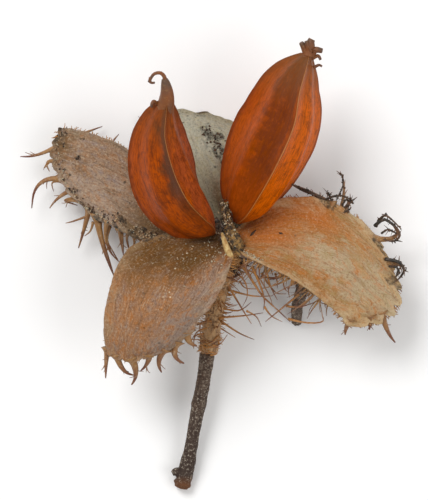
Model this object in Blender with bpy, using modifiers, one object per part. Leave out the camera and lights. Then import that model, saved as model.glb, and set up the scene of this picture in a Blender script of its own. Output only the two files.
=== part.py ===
"""A ripe beech husk lying on its side, with the two nuts that it held.

The husk has split into four valves, which stand on a narrow base at the end of a woody stalk.
Their insides are smooth and their backs and ragged tips carry bent spines. The husk rests on
the end of its stalk, on the tip of its back valve and on one stout woody spur.
Sizes are millimetres, and each finished piece is scaled to metres at the end.
+Z is up from the surface, and the nuts point to +Y.
"""

import math
import random

import bmesh
import bpy
from mathutils import Matrix, Vector
from mathutils.bvhtree import BVHTree

METRES_PER_MM = 0.001
SEED = 11

# Stalk, from its broken end on the surface up to the foot of the husk
STALK_LINE = (
    (-3.2, -22.4, 0.5), (-2.78, -21.1, 0.85), (-2.3, -18.7, 1.5), (-1.65, -15.1, 2.25),
    (-0.95, -11.6, 2.95), (-0.52, -8.95, 3.5),
)
STALK_RADII = (0.72, 0.84, 0.7, 0.74, 0.8, 0.76)
STALK_SIDES = 10
STALK_STEPS = 16

# Base of the husk, a funnel that widens under the nuts, which are seated in its top
BASE_LINE = (
    (-0.49, -8.75, 3.5), (0.05, -5.7, 4.2), (0.65, -2.3, 5.4), (1.1, 0.7, 6.9), (1.4, 3.0, 8.5),
)
BASE_RADII = (0.85, 1.02, 1.35, 1.95, 2.1)
BASE_SIDES = 16
BASE_STEPS = 12
SEAT_GAP = 0.12

# Valves. Each is given by its right edge, its middle and its left edge, seen from the inside
# with the tip pointing away, from the base of the husk to the tip.
VALVES = {
    "valve_front": (
        ((-0.6, 3.1, 8.0), (-4.3, 3.1, 8.5), (-8.2, 1.6, 9.3), (-10.1, -2.0, 9.3),
         (-10.75, -6.4, 8.6), (-10.6, -8.9, 7.6)),
        ((0.7, 2.2, 8.9), (-1.8, 0.6, 10.7), (-4.4, -2.0, 11.9), (-6.1, -5.2, 11.7),
         (-7.0, -8.0, 10.6), (-7.4, -9.5, 9.3)),
        ((1.5, 2.4, 8.9), (1.9, 0.5, 10.2), (0.75, -2.6, 10.8), (-1.3, -5.3, 10.5),
         (-2.5, -6.9, 9.7), (-3.4, -7.8, 9.2)),
    ),
    "valve_right": (
        ((2.2, 1.5, 8.8), (4.6, 0.3, 10.2), (8.1, -1.5, 9.9), (11.0, -3.6, 8.8),
         (12.9, -5.2, 7.6), (13.7, -6.2, 6.8)),
        ((2.7, 2.4, 7.9), (6.0, 2.7, 9.2), (10.0, 2.0, 9.4), (13.4, 0.5, 8.5),
         (16.6, -1.9, 6.9), (18.8, -4.1, 5.4)),
        ((2.9, 4.0, 6.8), (4.9, 5.7, 7.2), (7.8, 6.75, 7.3), (11.4, 6.4, 6.8),
         (14.4, 4.8, 5.8), (16.7, 3.0, 4.7)),
    ),
    "valve_left": (
        ((0.3, 4.4, 6.0), (-4.4, 7.6, 6.1), (-8.45, 11.5, 5.5), (-11.3, 12.9, 4.7),
         (-13.7, 13.6, 3.7), (-15.4, 13.7, 3.0)),
        ((-0.2, 3.5, 6.5), (-4.4, 5.3, 6.7), (-8.3, 7.3, 6.2), (-11.8, 9.0, 5.3),
         (-14.2, 9.6, 4.2), (-16.0, 9.9, 3.1)),
        ((-0.3, 2.4, 7.2), (-4.8, 2.7, 6.8), (-7.3, 2.6, 6.3), (-9.4, 3.6, 5.4),
         (-11.3, 4.6, 4.4), (-12.8, 5.7, 3.3)),
    ),
    "valve_back": (
        ((2.6, 3.8, 5.7), (3.3, 7.2, 4.9), (3.7, 9.8, 3.9), (3.7, 11.8, 2.6),
         (3.4, 13.2, 1.2), (2.9, 13.9, -0.3)),
        ((1.5, 4.1, 5.2), (0.6, 7.6, 5.0), (-0.6, 10.9, 4.4), (-1.3, 13.4, 3.0),
         (-1.6, 14.8, 1.3), (-1.6, 15.4, -0.4)),
        ((0.6, 4.2, 5.4), (-2.0, 7.2, 5.0), (-4.0, 10.4, 4.1), (-5.2, 13.0, 2.8),
         (-5.8, 14.6, 1.3), (-5.8, 15.3, -0.3)),
    ),
}
VALVE_THICKNESS = 0.8
VALVE_LENGTH_STEPS = 12
VALVE_WIDTH_STEPS = 12
NOTCHES_PER_TIP = 6
NOTCH_SHARE = 0.045

# Hooked teeth and stout spines on the edges: root, bend, tip and root radius
HOOKS = {
    "valve_front": (
        ((-10.3, -8.6, 7.5), (-10.7, -9.8, 7.1), (-10.7, -11.35, 7.1), 0.32),
        ((-9.15, -9.0, 8.0), (-9.2, -10.9, 7.7), (-7.85, -11.05, 7.5), 0.36),
        ((-7.85, -9.1, 8.7), (-7.2, -10.9, 8.2), (-8.1, -12.0, 7.6), 0.42),
        ((-6.45, -8.5, 9.0), (-6.3, -9.9, 8.7), (-7.2, -10.6, 8.4), 0.36),
        ((-5.4, -7.9, 9.1), (-5.8, -9.7, 8.9), (-5.1, -10.75, 8.4), 0.4),
        ((-4.25, -7.4, 9.0), (-4.3, -9.3, 8.9), (-2.85, -9.85, 8.7), 0.42),
        ((-2.75, -6.6, 9.2), (-2.6, -7.9, 9.1), (-1.55, -8.1, 8.9), 0.46),
    ),
    "valve_right": (
        ((16.9, -5.0, 6.0), (17.4, -6.8, 5.5), (18.35, -7.8, 5.0), 0.5),
        ((15.7, -5.2, 6.4), (15.8, -5.9, 6.2), (15.75, -6.5, 5.9), 0.46),
        ((13.6, -5.6, 7.0), (13.3, -6.3, 6.7), (13.3, -7.0, 6.3), 0.5),
        ((16.2, 2.4, 4.9), (19.6, 2.3, 4.9), (18.1, 4.0, 5.1), 0.42),
        ((17.4, 0.0, 5.4), (19.9, 0.6, 4.9), (19.0, -1.2, 4.8), 0.42),
        ((17.9, -1.6, 5.6), (18.6, -1.9, 5.2), (19.0, -2.7, 5.0), 0.3),
        ((11.6, 5.9, 6.3), (10.0, 7.3, 5.9), (8.3, 8.0, 5.6), 0.4),
        ((12.6, 5.4, 6.0), (13.5, 7.4, 5.6), (13.0, 9.1, 5.5), 0.3),
        ((13.0, 5.2, 5.9), (13.4, 6.3, 5.6), (14.2, 6.6, 5.4), 0.36),
        ((10.9, -2.4, 8.2), (11.4, -6.4, 7.4), (9.1, -5.7, 6.2), 0.3),
    ),
    "valve_left": (
        ((-15.2, 12.0, 3.0), (-17.5, 10.7, 3.0), (-19.35, 10.9, 2.8), 0.36),
        ((-15.5, 10.5, 2.9), (-17.3, 10.8, 2.7), (-16.4, 9.4, 2.8), 0.32),
        ((-15.2, 8.8, 3.0), (-18.2, 9.2, 2.6), (-18.2, 5.7, 2.3), 0.42),
        ((-14.5, 7.4, 3.0), (-15.6, 7.0, 2.7), (-16.4, 5.7, 2.5), 0.36),
        ((-13.5, 6.7, 2.9), (-15.8, 6.6, 2.5), (-13.6, 6.0, 2.3), 0.3),
        ((-12.2, 5.2, 3.0), (-12.8, 3.9, 2.6), (-13.5, 1.7, 1.5), 0.46),
        ((-11.3, 4.9, 3.5), (-11.3, 2.0, 2.6), (-9.95, -1.1, 1.4), 0.42),
        ((-10.2, 4.3, 4.1), (-11.3, 1.9, 2.9), (-9.4, 0.3, 2.2), 0.36),
        ((-8.9, 3.7, 4.6), (-9.2, 2.4, 3.6), (-8.95, 0.9, 2.9), 0.32),
    ),
    "valve_back": (
        ((3.0, 13.0, 1.0), (4.4, 14.2, 1.6), (5.0, 13.4, 0.6), 0.36),
        ((-5.3, 14.2, 1.1), (-7.0, 15.0, 1.6), (-7.4, 14.0, 0.6), 0.36),
    ),
    "cupule_base": (
        ((2.0, 0.2, 7.8), (4.6, -2.9, 7.5), (7.3, -5.5, 6.5), 0.34),
        ((1.3, -1.8, 6.3), (2.6, -3.6, 6.6), (3.8, -5.9, 6.0), 0.4),
        ((0.6, -5.2, 4.6), (2.4, -7.0, 4.7), (4.25, -7.4, 4.0), 0.26),
        ((1.0, -3.8, 5.4), (3.0, -5.4, 5.3), (5.2, -4.6, 5.6), 0.26),
    ),
}
HOOK_SINK = 0.35
# The stout woody spur under the right valve, down to the surface
SPUR_LINE = ((8.8, -0.6, 9.3), (8.95, -2.3, 6.7), (8.5, -4.3, 3.2), (8.5, -5.8, -0.3))
SPUR_RADII = (0.78, 0.66, 0.6, 0.42)
SPUR_SIDES = 8
SPUR_STEPS = 8

# Spines that cover the backs, by rule
SPINES_ALONG = 7
SPINES_ACROSS = 5
SPINE_JITTER = 0.3
SPINE_LENGTH = (3.0, 4.6)
SPINE_RADIUS = 0.28
SPINE_TIP_RADIUS = 0.16
SPINE_POINTS = 5
SPINE_CLEARANCE = 0.25
SPINE_TRIES = 12
SPINE_LOWEST = 0.45
BASE_SPINES = 18

# Nuts: the line through the middle of the shell, the widest radius of its ridges, and the turn
# of its first ridge about that line from the way that faces up
NUTS = {
    "nut_left": (
        ((0.1, 3.2, 8.5), (-2.0, 4.9, 9.9), (-3.7, 7.2, 11.7), (-4.75, 10.2, 13.5),
         (-5.1, 13.4, 15.5), (-4.5, 16.4, 17.2)),
        3.95, -12.0, (0.12, 0.62, 0.86, 0.98, 1.0, 0.92, 0.76, 0.5, 0.13),
    ),
    "nut_right": (
        ((2.4, 4.3, 7.6), (3.9, 7.2, 8.5), (5.6, 10.6, 9.3), (7.2, 14.2, 10.1),
         (8.15, 17.8, 10.8), (9.5, 20.9, 11.1)),
        5.0, -12.0, (0.12, 0.6, 0.82, 0.94, 1.0, 0.98, 0.87, 0.64, 0.16),
    ),
}
NUT_RIDGES = 3
NUT_FACE_STEPS = 8
NUT_LENGTH_STEPS = 16
NUT_FACE_BULGE = 0.16
NUT_FLANK_HOLLOW = 0.07
BEAK_LINES = {
    "nut_left": (((-4.5, 16.2, 17.1), (-4.4, 17.8, 17.9), (-5.0, 19.2, 18.2), (-6.0, 19.0, 18.2),
                  (-6.0, 18.0, 18.0)), (0.55, 0.4, 0.3, 0.22, 0.16)),
    "nut_right": (((9.2, 20.6, 11.0), (9.6, 21.6, 11.3), (9.9, 22.5, 11.5)), (0.6, 0.42, 0.2)),
}
NUT_RIGHT_TUFT = (
    ((9.5, 21.2, 11.1), (9.1, 21.9, 11.4), (8.75, 22.4, 11.6)),
    ((9.6, 21.3, 11.1), (10.4, 21.5, 11.4), (11.1, 21.0, 11.6)),
)
TUFT_RADII = (0.34, 0.26, 0.14)

# Colours from the object: linear red, green and blue, then roughness
FINISHES = {
    "shell_chestnut": ((0.48, 0.11, 0.018), 0.3),
    "valve_tan": ((0.42, 0.22, 0.1), 0.8),
    "base_brown": ((0.3, 0.17, 0.08), 0.85),
    "bark": ((0.1, 0.065, 0.045), 0.9),
}


def clear_scene():
    for obj in list(bpy.data.objects):
        bpy.data.objects.remove(obj)


def make_material(name):
    colour, roughness = FINISHES[name]
    material = bpy.data.materials.new(name)
    material.use_nodes = True
    shader = material.node_tree.nodes["Principled BSDF"]
    shader.inputs["Base Color"].default_value = (*colour, 1.0)
    shader.inputs["Roughness"].default_value = roughness
    shader.inputs["Metallic"].default_value = 0.0
    return material


def smooth_line(points, share):
    """The point at a share of the way along a smooth curve through the given points."""
    last = len(points) - 1
    along = share * last
    k = min(max(int(along), 0), last - 1)
    f = along - k
    p0, p1, p2, p3 = (Vector(points[min(max(k + step, 0), last)]) for step in (-1, 0, 1, 2))
    return 0.5 * (
        2 * p1 + (p2 - p0) * f + (2 * p0 - 5 * p1 + 4 * p2 - p3) * f**2
        + (3 * p1 - p0 - 3 * p2 + p3) * f**3
    )


def smooth_value(values, share):
    """The same curve through plain numbers."""
    return smooth_line([(value, 0.0, 0.0) for value in values], share).x


def bend_line(root, bend, tip, count=SPINE_POINTS):
    """Points along the curve that leaves the root towards the bend and ends at the tip."""
    root, bend, tip = Vector(root), Vector(bend), Vector(tip)
    shares = [k / (count - 1) for k in range(count)]
    return [root * (1 - f) ** 2 + bend * 2 * f * (1 - f) + tip * f**2 for f in shares]


def link(name, data, collection):
    obj = bpy.data.objects.new(name, data)
    collection.objects.link(obj)
    return obj


def settle(obj):
    """Replaces the object's mesh by what its modifiers make of it."""
    bpy.context.view_layer.update()
    graph = bpy.context.evaluated_depsgraph_get()
    mesh = bpy.data.meshes.new_from_object(obj.evaluated_get(graph))
    obj.modifiers.clear()
    obj.data = mesh
    return obj


def face_out(bm):
    """Turns the faces of a closed mesh outwards."""
    bmesh.ops.recalc_face_normals(bm, faces=bm.faces[:])
    if bm.calc_volume(signed=True) < 0:
        bmesh.ops.reverse_faces(bm, faces=bm.faces[:])


def tube(name, points, radii, sides, collection):
    """A closed round limb along the points, made as a bevelled curve and then a mesh."""
    curve = bpy.data.curves.new(name, "CURVE")
    curve.dimensions = "3D"
    curve.bevel_depth = 1.0
    curve.bevel_resolution = (sides - 4) // 2
    curve.use_fill_caps = True
    spline = curve.splines.new("POLY")
    spline.points.add(len(points) - 1)
    for point, place, radius in zip(spline.points, points, radii):
        point.co = (*place, 1.0)
        point.radius = radius
    guide = link(name + "_line", curve, collection)
    bpy.context.view_layer.update()
    graph = bpy.context.evaluated_depsgraph_get()
    mesh = bpy.data.meshes.new_from_object(guide.evaluated_get(graph))
    bpy.data.objects.remove(guide)
    bm = bmesh.new()
    bm.from_mesh(mesh)
    bmesh.ops.remove_doubles(bm, verts=bm.verts[:], dist=0.001)
    face_out(bm)
    bm.to_mesh(mesh)
    bm.free()
    return link(name, mesh, collection)


def limb(name, line, radii, sides, steps, collection):
    """A tube along a smooth curve through the line's points."""
    shares = [k / steps for k in range(steps + 1)]
    places = [smooth_line(line, share) for share in shares]
    return tube(name, places, [smooth_value(radii, share) for share in shares], sides, collection)


def remove_collection(collection):
    for obj in list(collection.objects):
        bpy.data.objects.remove(obj)
    bpy.data.collections.remove(collection)


def join(obj, others):
    """One Boolean union of the object with every object of a collection, applied."""
    modifier = obj.modifiers.new("join", "BOOLEAN")
    modifier.operation = "UNION"
    modifier.operand_type = "COLLECTION"
    modifier.collection = others
    modifier.solver = "EXACT"
    settle(obj)
    remove_collection(others)
    return drop_scraps(obj)


def cut(obj, cutters):
    """Cuts every object of a collection out of the object, one after another."""
    for cutter in cutters.objects:
        modifier = obj.modifiers.new("cut", "BOOLEAN")
        modifier.operation = "DIFFERENCE"
        modifier.object = cutter
        modifier.solver = "EXACT"
    settle(obj)
    remove_collection(cutters)
    return drop_scraps(obj)


def drop_scraps(obj):
    """Keeps the largest connected piece of the mesh."""
    bm = bmesh.new()
    bm.from_mesh(obj.data)
    left = set(bm.verts)
    pieces = []
    while left:
        front = [left.pop()]
        piece = list(front)
        while front:
            near = {edge.other_vert(v) for v in front for edge in v.link_edges} & left
            left -= near
            front = list(near)
            piece += front
        pieces.append(piece)
    pieces.sort(key=len)
    for piece in pieces[:-1]:
        bmesh.ops.delete(bm, geom=piece, context="VERTS")
    bm.to_mesh(obj.data)
    bm.free()
    return obj


def new_collection(name):
    collection = bpy.data.collections.new(name)
    bpy.context.scene.collection.children.link(collection)
    return collection


def cut_at_surface(obj):
    """Flattens what would reach below the surface that the husk lies on."""
    cutters = new_collection("surface")
    box = bmesh.new()
    bmesh.ops.create_cube(box, size=60.0, matrix=Matrix.Translation((0.0, 0.0, -30.0)))
    mesh = bpy.data.meshes.new("surface")
    box.to_mesh(mesh)
    box.free()
    link("surface", mesh, cutters)
    return cut(obj, cutters)


def valve_point(edges, along, across):
    """A point on the inside of a valve: along from 0 at the base to 1, across from -1 to 1."""
    right, middle, left = (smooth_line(edge, along) for edge in edges)
    return middle + (left - right) * (across / 2) + ((left + right) / 2 - middle) * across**2


def valve_outward(edges, along, across):
    """The way out through the back of a valve."""
    step = 0.02
    lengthwise = valve_point(edges, along + step, across) - valve_point(edges, along - step, across)
    crosswise = valve_point(edges, along, across + step) - valve_point(edges, along, across - step)
    return crosswise.cross(lengthwise).normalized()


def make_blade(name, edges, collection):
    """A valve without its spines, a ragged-tipped curved plate."""
    bm = bmesh.new()
    bmesh.ops.create_grid(bm, x_segments=VALVE_LENGTH_STEPS, y_segments=VALVE_WIDTH_STEPS, size=0.5)
    for vertex in bm.verts:
        along, across = vertex.co.x + 0.5, vertex.co.y * 2
        wave = abs((across + 1) / 2 * NOTCHES_PER_TIP % 1 - 0.5) * 2
        along *= 1 - NOTCH_SHARE * wave * along**3
        vertex.co = valve_point(edges, along, across)
    mesh = bpy.data.meshes.new(name)
    bm.to_mesh(mesh)
    bm.free()
    blade = link(name, mesh, collection)
    wall = blade.modifiers.new("wall", "SOLIDIFY")
    wall.thickness = VALVE_THICKNESS
    wall.offset = -1.0
    return settle(blade)


def tree_of(obj):
    bm = bmesh.new()
    bm.from_mesh(obj.data)
    tree = BVHTree.FromBMesh(bm)
    bm.free()
    return tree


def is_clear(line, radius, owner, trees, spines):
    """Whether a spine keeps its distance from every other piece and from their spines."""
    for point in line:
        for name, tree in trees.items():
            if name == owner:
                continue
            nearest, normal, _, distance = tree.find_nearest(point)
            if distance < radius + SPINE_CLEARANCE or (point - nearest).dot(normal) < 0:
                return False
        for name, other_line, other_radius in spines:
            gap = radius + other_radius + SPINE_CLEARANCE * 2
            if name != owner and any((point - other).length < gap for other in other_line):
                return False
    return True


def spine_from(root, outward, towards_tip, sideways, draw):
    """A spine that leans to the valve's tip, bends over and spreads where it meets the surface."""
    length = draw.uniform(*SPINE_LENGTH)
    lean = draw.uniform(0.1, 0.5)
    swing = draw.uniform(-0.5, 0.5)
    start = (outward + towards_tip * lean + sideways * swing).normalized()
    end = (outward * 0.75 - towards_tip * draw.uniform(0.1, 0.7) + sideways * swing).normalized()
    bend = root + start * length * 0.55
    line = bend_line(root, bend, bend + end * length * 0.5)
    for point in line:
        point.z = max(point.z, SPINE_LOWEST)
    return line


def add_valve_spines(name, edges, trees, spines, draw):
    """Spines in rows over the back of a valve. One that would cross another piece is turned."""
    for row in range(SPINES_ALONG):
        for column in range(SPINES_ACROSS):
            for _ in range(SPINE_TRIES):
                jitter = Vector((draw.uniform(-1, 1), draw.uniform(-1, 1))) * SPINE_JITTER
                along = 0.14 + 0.8 * (row + 0.5 + jitter.x) / SPINES_ALONG
                across = -0.88 + 1.76 * (column + 0.5 + jitter.y) / SPINES_ACROSS
                outward = valve_outward(edges, along, across)
                here = valve_point(edges, along, across)
                ahead = (valve_point(edges, along + 0.02, across) - here).normalized()
                sideways = ahead.cross(outward)
                root = here + outward * VALVE_THICKNESS * 0.4
                line = spine_from(root, outward, ahead, sideways, draw)
                if is_clear(line, SPINE_RADIUS, name, trees, spines):
                    spines.append((name, line, SPINE_RADIUS))
                    break


def add_base_spines(trees, spines, draw):
    """Spines round the neck of the husk."""
    for k in range(BASE_SPINES):
        for _ in range(SPINE_TRIES):
            along = draw.uniform(0.12, 0.62)
            here = smooth_line(BASE_LINE, along)
            ahead = (smooth_line(BASE_LINE, along + 0.05) - here).normalized()
            turn = 2 * math.pi * (k + draw.uniform(-0.4, 0.4)) / BASE_SPINES
            side = ahead.orthogonal().normalized()
            outward = (Matrix.Rotation(turn, 3, ahead) @ side).normalized()
            root = here + outward * smooth_value(BASE_RADII, along) * 0.6
            line = spine_from(root, outward, -ahead, ahead.cross(outward), draw)
            if is_clear(line[1:], SPINE_RADIUS, "cupule_base", trees, spines):
                spines.append(("cupule_base", line, SPINE_RADIUS))
                break


def edge_hooks(trees):
    """The hooks, each with its root sunk into the piece that it grows from."""
    made = []
    for name, hooks in HOOKS.items():
        for root, bend, tip, radius in hooks:
            nearest, normal, _, _ = trees[name].find_nearest(Vector(root))
            made.append((name, bend_line(nearest - normal * HOOK_SINK, bend, tip), radius))
    return made


def add_spines(obj, spines):
    """Fuses the object's spines, and the spur of the right valve, into it."""
    growing = new_collection(obj.name + "_spines")
    for k, (owner, line, radius) in enumerate(spines):
        if owner == obj.name:
            step = (SPINE_TIP_RADIUS - radius) / (len(line) - 1)
            tube(f"spine_{k}", line, [radius + step * i for i in range(len(line))], 4, growing)
    if obj.name == "valve_right":
        limb("spur", SPUR_LINE, SPUR_RADII, SPUR_SIDES, SPUR_STEPS, growing)
    return join(obj, growing)


def make_stalk(collection):
    stalk = limb("stalk", STALK_LINE, STALK_RADII, STALK_SIDES, STALK_STEPS, collection)
    return cut_at_surface(stalk)


def make_base(name, collection, gap=0.0):
    radii = [radius + gap for radius in BASE_RADII]
    return limb(name, BASE_LINE, radii, BASE_SIDES, BASE_STEPS, collection)


def seat(obj, nuts, base=True):
    """Cuts away what would stand in the nuts or in the base, with a fine gap left round them."""
    cutters = new_collection("seats")
    for name, (line, widest, turn, profile) in nuts.items():
        make_shell(name + "_seat", line, widest + SEAT_GAP * 2, turn, profile, cutters)
    if base:
        make_base("base_seat", cutters, SEAT_GAP)
    return cut(obj, cutters)


def nut_point(line, widest, turn, profile, along, around):
    """A point on a nut's shell: along from its foot to its tip, around in ridges from 0 to 3."""
    middle = smooth_line(line, along)
    ahead = (smooth_line(line, along + 0.02) - smooth_line(line, along - 0.02)).normalized()
    side = ahead.cross(Vector((0.0, 0.0, 1.0))).normalized()
    up = side.cross(ahead)
    radius = widest * smooth_value(profile, along)

    def ridge(number):
        angle = math.radians(90 + turn + 360 / NUT_RIDGES * number)
        return (side * math.cos(angle) + up * math.sin(angle)) * radius

    face = int(around) % NUT_RIDGES
    share = around - int(around)
    share = share - math.sin(2 * math.pi * share) / (4 * math.pi)
    chord = ridge(face) * (1 - share) + ridge(face + 1) * share
    outward = (ridge(face) + ridge(face + 1)).normalized()
    swell = NUT_FACE_BULGE * math.sin(math.pi * share) ** 2 * (1.3 - along)
    flank = NUT_FLANK_HOLLOW * math.sin(2 * math.pi * share) ** 2
    return middle + chord + outward * radius * (swell - flank)


def make_shell(name, line, widest, turn, profile, collection):
    """A closed three-ridged shell, shaped from a many-ringed cylinder."""
    bm = bmesh.new()
    segments = NUT_RIDGES * NUT_FACE_STEPS
    bmesh.ops.create_cone(
        bm, cap_ends=True, segments=segments, radius1=1.0, radius2=1.0, depth=1.0,
    )
    for k in range(1, NUT_LENGTH_STEPS):
        everything = bm.verts[:] + bm.edges[:] + bm.faces[:]
        level = (0.0, 0.0, k / NUT_LENGTH_STEPS - 0.5)
        bmesh.ops.bisect_plane(bm, geom=everything, plane_co=level, plane_no=(0.0, 0.0, 1.0))
    for vertex in bm.verts:
        angle = math.atan2(vertex.co.y, vertex.co.x) % (2 * math.pi)
        around = round(angle / (2 * math.pi) * segments) % segments / NUT_FACE_STEPS
        vertex.co = nut_point(line, widest, turn, profile, vertex.co.z + 0.5, around)
    face_out(bm)
    mesh = bpy.data.meshes.new(name)
    bm.to_mesh(mesh)
    bm.free()
    return link(name, mesh, collection)


def make_nut(name, collection):
    """A shell with the dry style on its tip, and on the right nut the ragged rest of a flower."""
    nut = make_shell(name, *NUTS[name], collection)
    growing = new_collection(name + "_tip")
    beak, radii = BEAK_LINES[name]
    limb("beak", beak, radii, 6, 10, growing)
    if name == "nut_right":
        for k, tuft in enumerate(NUT_RIGHT_TUFT):
            limb(f"tuft_{k}", tuft, TUFT_RADII, 4, 4, growing)
    return join(nut, growing)


def finish(obj, material):
    """Triangles, metres, shading and material."""
    bm = bmesh.new()
    bm.from_mesh(obj.data)
    bmesh.ops.triangulate(bm, faces=bm.faces[:])
    bmesh.ops.scale(bm, vec=(METRES_PER_MM,) * 3, verts=bm.verts[:])
    bm.to_mesh(obj.data)
    bm.free()
    obj.data.materials.clear()
    obj.data.materials.append(material)
    obj.data.shade_smooth()
    obj.data.set_sharp_from_angle(angle=math.radians(40))


def main():
    clear_scene()
    draw = random.Random(SEED)
    husk = new_collection("beech_nut")
    stalk = make_stalk(husk)
    nuts = {name: make_nut(name, husk) for name in NUTS}
    base = seat(make_base("cupule_base", husk), NUTS, base=False)
    blades = {name: seat(make_blade(name, edges, husk), NUTS) for name, edges in VALVES.items()}
    bodies = {"stalk": stalk, "cupule_base": base, **blades, **nuts}
    trees = {name: tree_of(obj) for name, obj in bodies.items()}
    spur = [smooth_line(SPUR_LINE, k / SPUR_STEPS) for k in range(SPUR_STEPS + 1)]
    spines = edge_hooks(trees) + [("spur", spur, SPUR_RADII[0])]
    for name, edges in VALVES.items():
        add_valve_spines(name, edges, trees, spines, draw)
    add_base_spines(trees, spines, draw)
    for obj in (base, *blades.values()):
        add_spines(obj, spines)
    for name in ("valve_right", "valve_back"):
        cut_at_surface(blades[name])
    shell, tan, brown, bark = (make_material(name) for name in FINISHES)
    for nut in nuts.values():
        finish(nut, shell)
    for blade in blades.values():
        finish(blade, tan)
    finish(base, brown)
    finish(stalk, bark)


main()
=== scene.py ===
"""Looks of a ripe beech husk with its two nuts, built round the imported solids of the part.

Run as a script. The curves of the valves, nuts, stalk and base are those of the solids.
Sizes in the tables are millimetres; finished meshes are scaled to metres.
+Z is up from the surface that the husk lies on, and the nuts point to +Y.
"""

import math
import random
from functools import partial

import bmesh
import bpy
from bpy.props import FloatProperty, FloatVectorProperty, IntProperty, PointerProperty
from mathutils import Matrix, Vector, noise
from mathutils.bvhtree import BVHTree


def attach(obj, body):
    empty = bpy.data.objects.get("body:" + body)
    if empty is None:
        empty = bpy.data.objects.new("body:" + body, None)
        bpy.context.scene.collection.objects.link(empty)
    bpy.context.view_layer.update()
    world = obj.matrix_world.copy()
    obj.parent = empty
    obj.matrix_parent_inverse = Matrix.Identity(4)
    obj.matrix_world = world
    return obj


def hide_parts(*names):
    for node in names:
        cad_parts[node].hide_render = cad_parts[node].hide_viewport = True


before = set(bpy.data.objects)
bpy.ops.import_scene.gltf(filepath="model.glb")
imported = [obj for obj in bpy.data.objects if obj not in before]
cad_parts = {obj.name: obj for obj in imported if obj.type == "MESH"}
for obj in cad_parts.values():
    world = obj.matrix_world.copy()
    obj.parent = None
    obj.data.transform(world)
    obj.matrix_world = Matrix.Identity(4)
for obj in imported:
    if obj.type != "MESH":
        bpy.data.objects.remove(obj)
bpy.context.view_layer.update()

bl_info = {
    "name": "Beech husk and nuts",
    "version": (1, 0, 0),
    "blender": (4, 5, 0),
    "location": "View3D > Sidebar > Beech",
    "description": "Builds a ripe beech husk, its spines, stalk and two nuts round a packed model",
    "category": "Object",
}

MM = 0.001

# Each valve by its right edge, its middle and its left edge, seen from the inside
VALVES = {
    "valve_front": (
        ((-0.6, 3.1, 8.0), (-4.3, 3.1, 8.5), (-8.2, 1.6, 9.3), (-10.1, -2.0, 9.3),
         (-10.75, -6.4, 8.6), (-10.6, -8.9, 7.6)),
        ((0.7, 2.2, 8.9), (-1.8, 0.6, 10.7), (-4.4, -2.0, 11.9), (-6.1, -5.2, 11.7),
         (-7.0, -8.0, 10.6), (-7.4, -9.5, 9.3)),
        ((1.5, 2.4, 8.9), (1.9, 0.5, 10.2), (0.75, -2.6, 10.8), (-1.3, -5.3, 10.5),
         (-2.5, -6.9, 9.7), (-3.4, -7.8, 9.2)),
    ),
    "valve_right": (
        ((2.2, 1.5, 8.8), (4.6, 0.3, 10.2), (8.1, -1.5, 9.9), (11.0, -3.6, 8.8),
         (12.9, -5.2, 7.6), (13.7, -6.2, 6.8)),
        ((2.7, 2.4, 7.9), (6.0, 2.7, 9.2), (10.0, 2.0, 9.4), (13.4, 0.5, 8.5),
         (16.6, -1.9, 6.9), (18.8, -4.1, 5.4)),
        ((2.9, 4.0, 6.8), (4.9, 5.7, 7.2), (7.8, 6.75, 7.3), (11.4, 6.4, 6.8),
         (14.4, 4.8, 5.8), (16.5, 2.9, 4.7)),
    ),
    "valve_left": (
        ((0.3, 4.4, 6.0), (-4.4, 7.6, 6.1), (-8.45, 11.5, 5.5), (-11.3, 12.9, 4.7),
         (-13.7, 13.6, 3.7), (-15.4, 13.7, 3.0)),
        ((-0.2, 3.5, 6.5), (-4.4, 5.3, 6.7), (-8.3, 7.3, 6.2), (-11.8, 9.0, 5.3),
         (-14.2, 9.6, 4.2), (-16.0, 9.9, 3.1)),
        ((-0.3, 2.4, 7.2), (-4.8, 2.7, 6.8), (-7.3, 2.6, 6.3), (-9.4, 3.6, 5.4),
         (-11.3, 4.6, 4.4), (-12.8, 5.7, 3.3)),
    ),
    "valve_back": (
        ((2.6, 3.8, 5.7), (3.3, 7.2, 4.9), (3.7, 9.8, 3.9), (3.7, 11.8, 2.6),
         (3.4, 13.2, 1.2), (2.9, 13.9, -0.3)),
        ((1.5, 4.1, 5.2), (0.6, 7.6, 5.0), (-0.6, 10.9, 4.4), (-1.3, 13.4, 3.0),
         (-1.6, 14.8, 1.3), (-1.6, 15.4, -0.4)),
        ((0.6, 4.2, 5.4), (-2.0, 7.2, 5.0), (-4.0, 10.4, 4.1), (-5.2, 13.0, 2.8),
         (-5.8, 14.6, 1.3), (-5.8, 15.3, -0.3)),
    ),
}
# How far a valve reaches back past its base, as a share of its length
BASE_REACH = 0.05
VALVE_SEEDS = {"valve_front": 3, "valve_right": 8, "valve_left": 21, "valve_back": 34}
VALVE_SLOTS = {
    "valve_front": "valve", "valve_right": "valve", "valve_left": "valve",
    "valve_back": "valve_weathered",
}
# Steps along and across a valve, and across the coarse one that spines are kept clear of
VALVE_GRID = (150, 110)
OBSTACLE_GRID = (24, 18)
# The share of its wall that a valve loses towards its edges
VALVE_THINNING = 0.68
# How low a valve's inside and a hook may come above the floor
LOWEST_BLADE = 0.3
LOWEST_HOOK = 0.25

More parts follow.
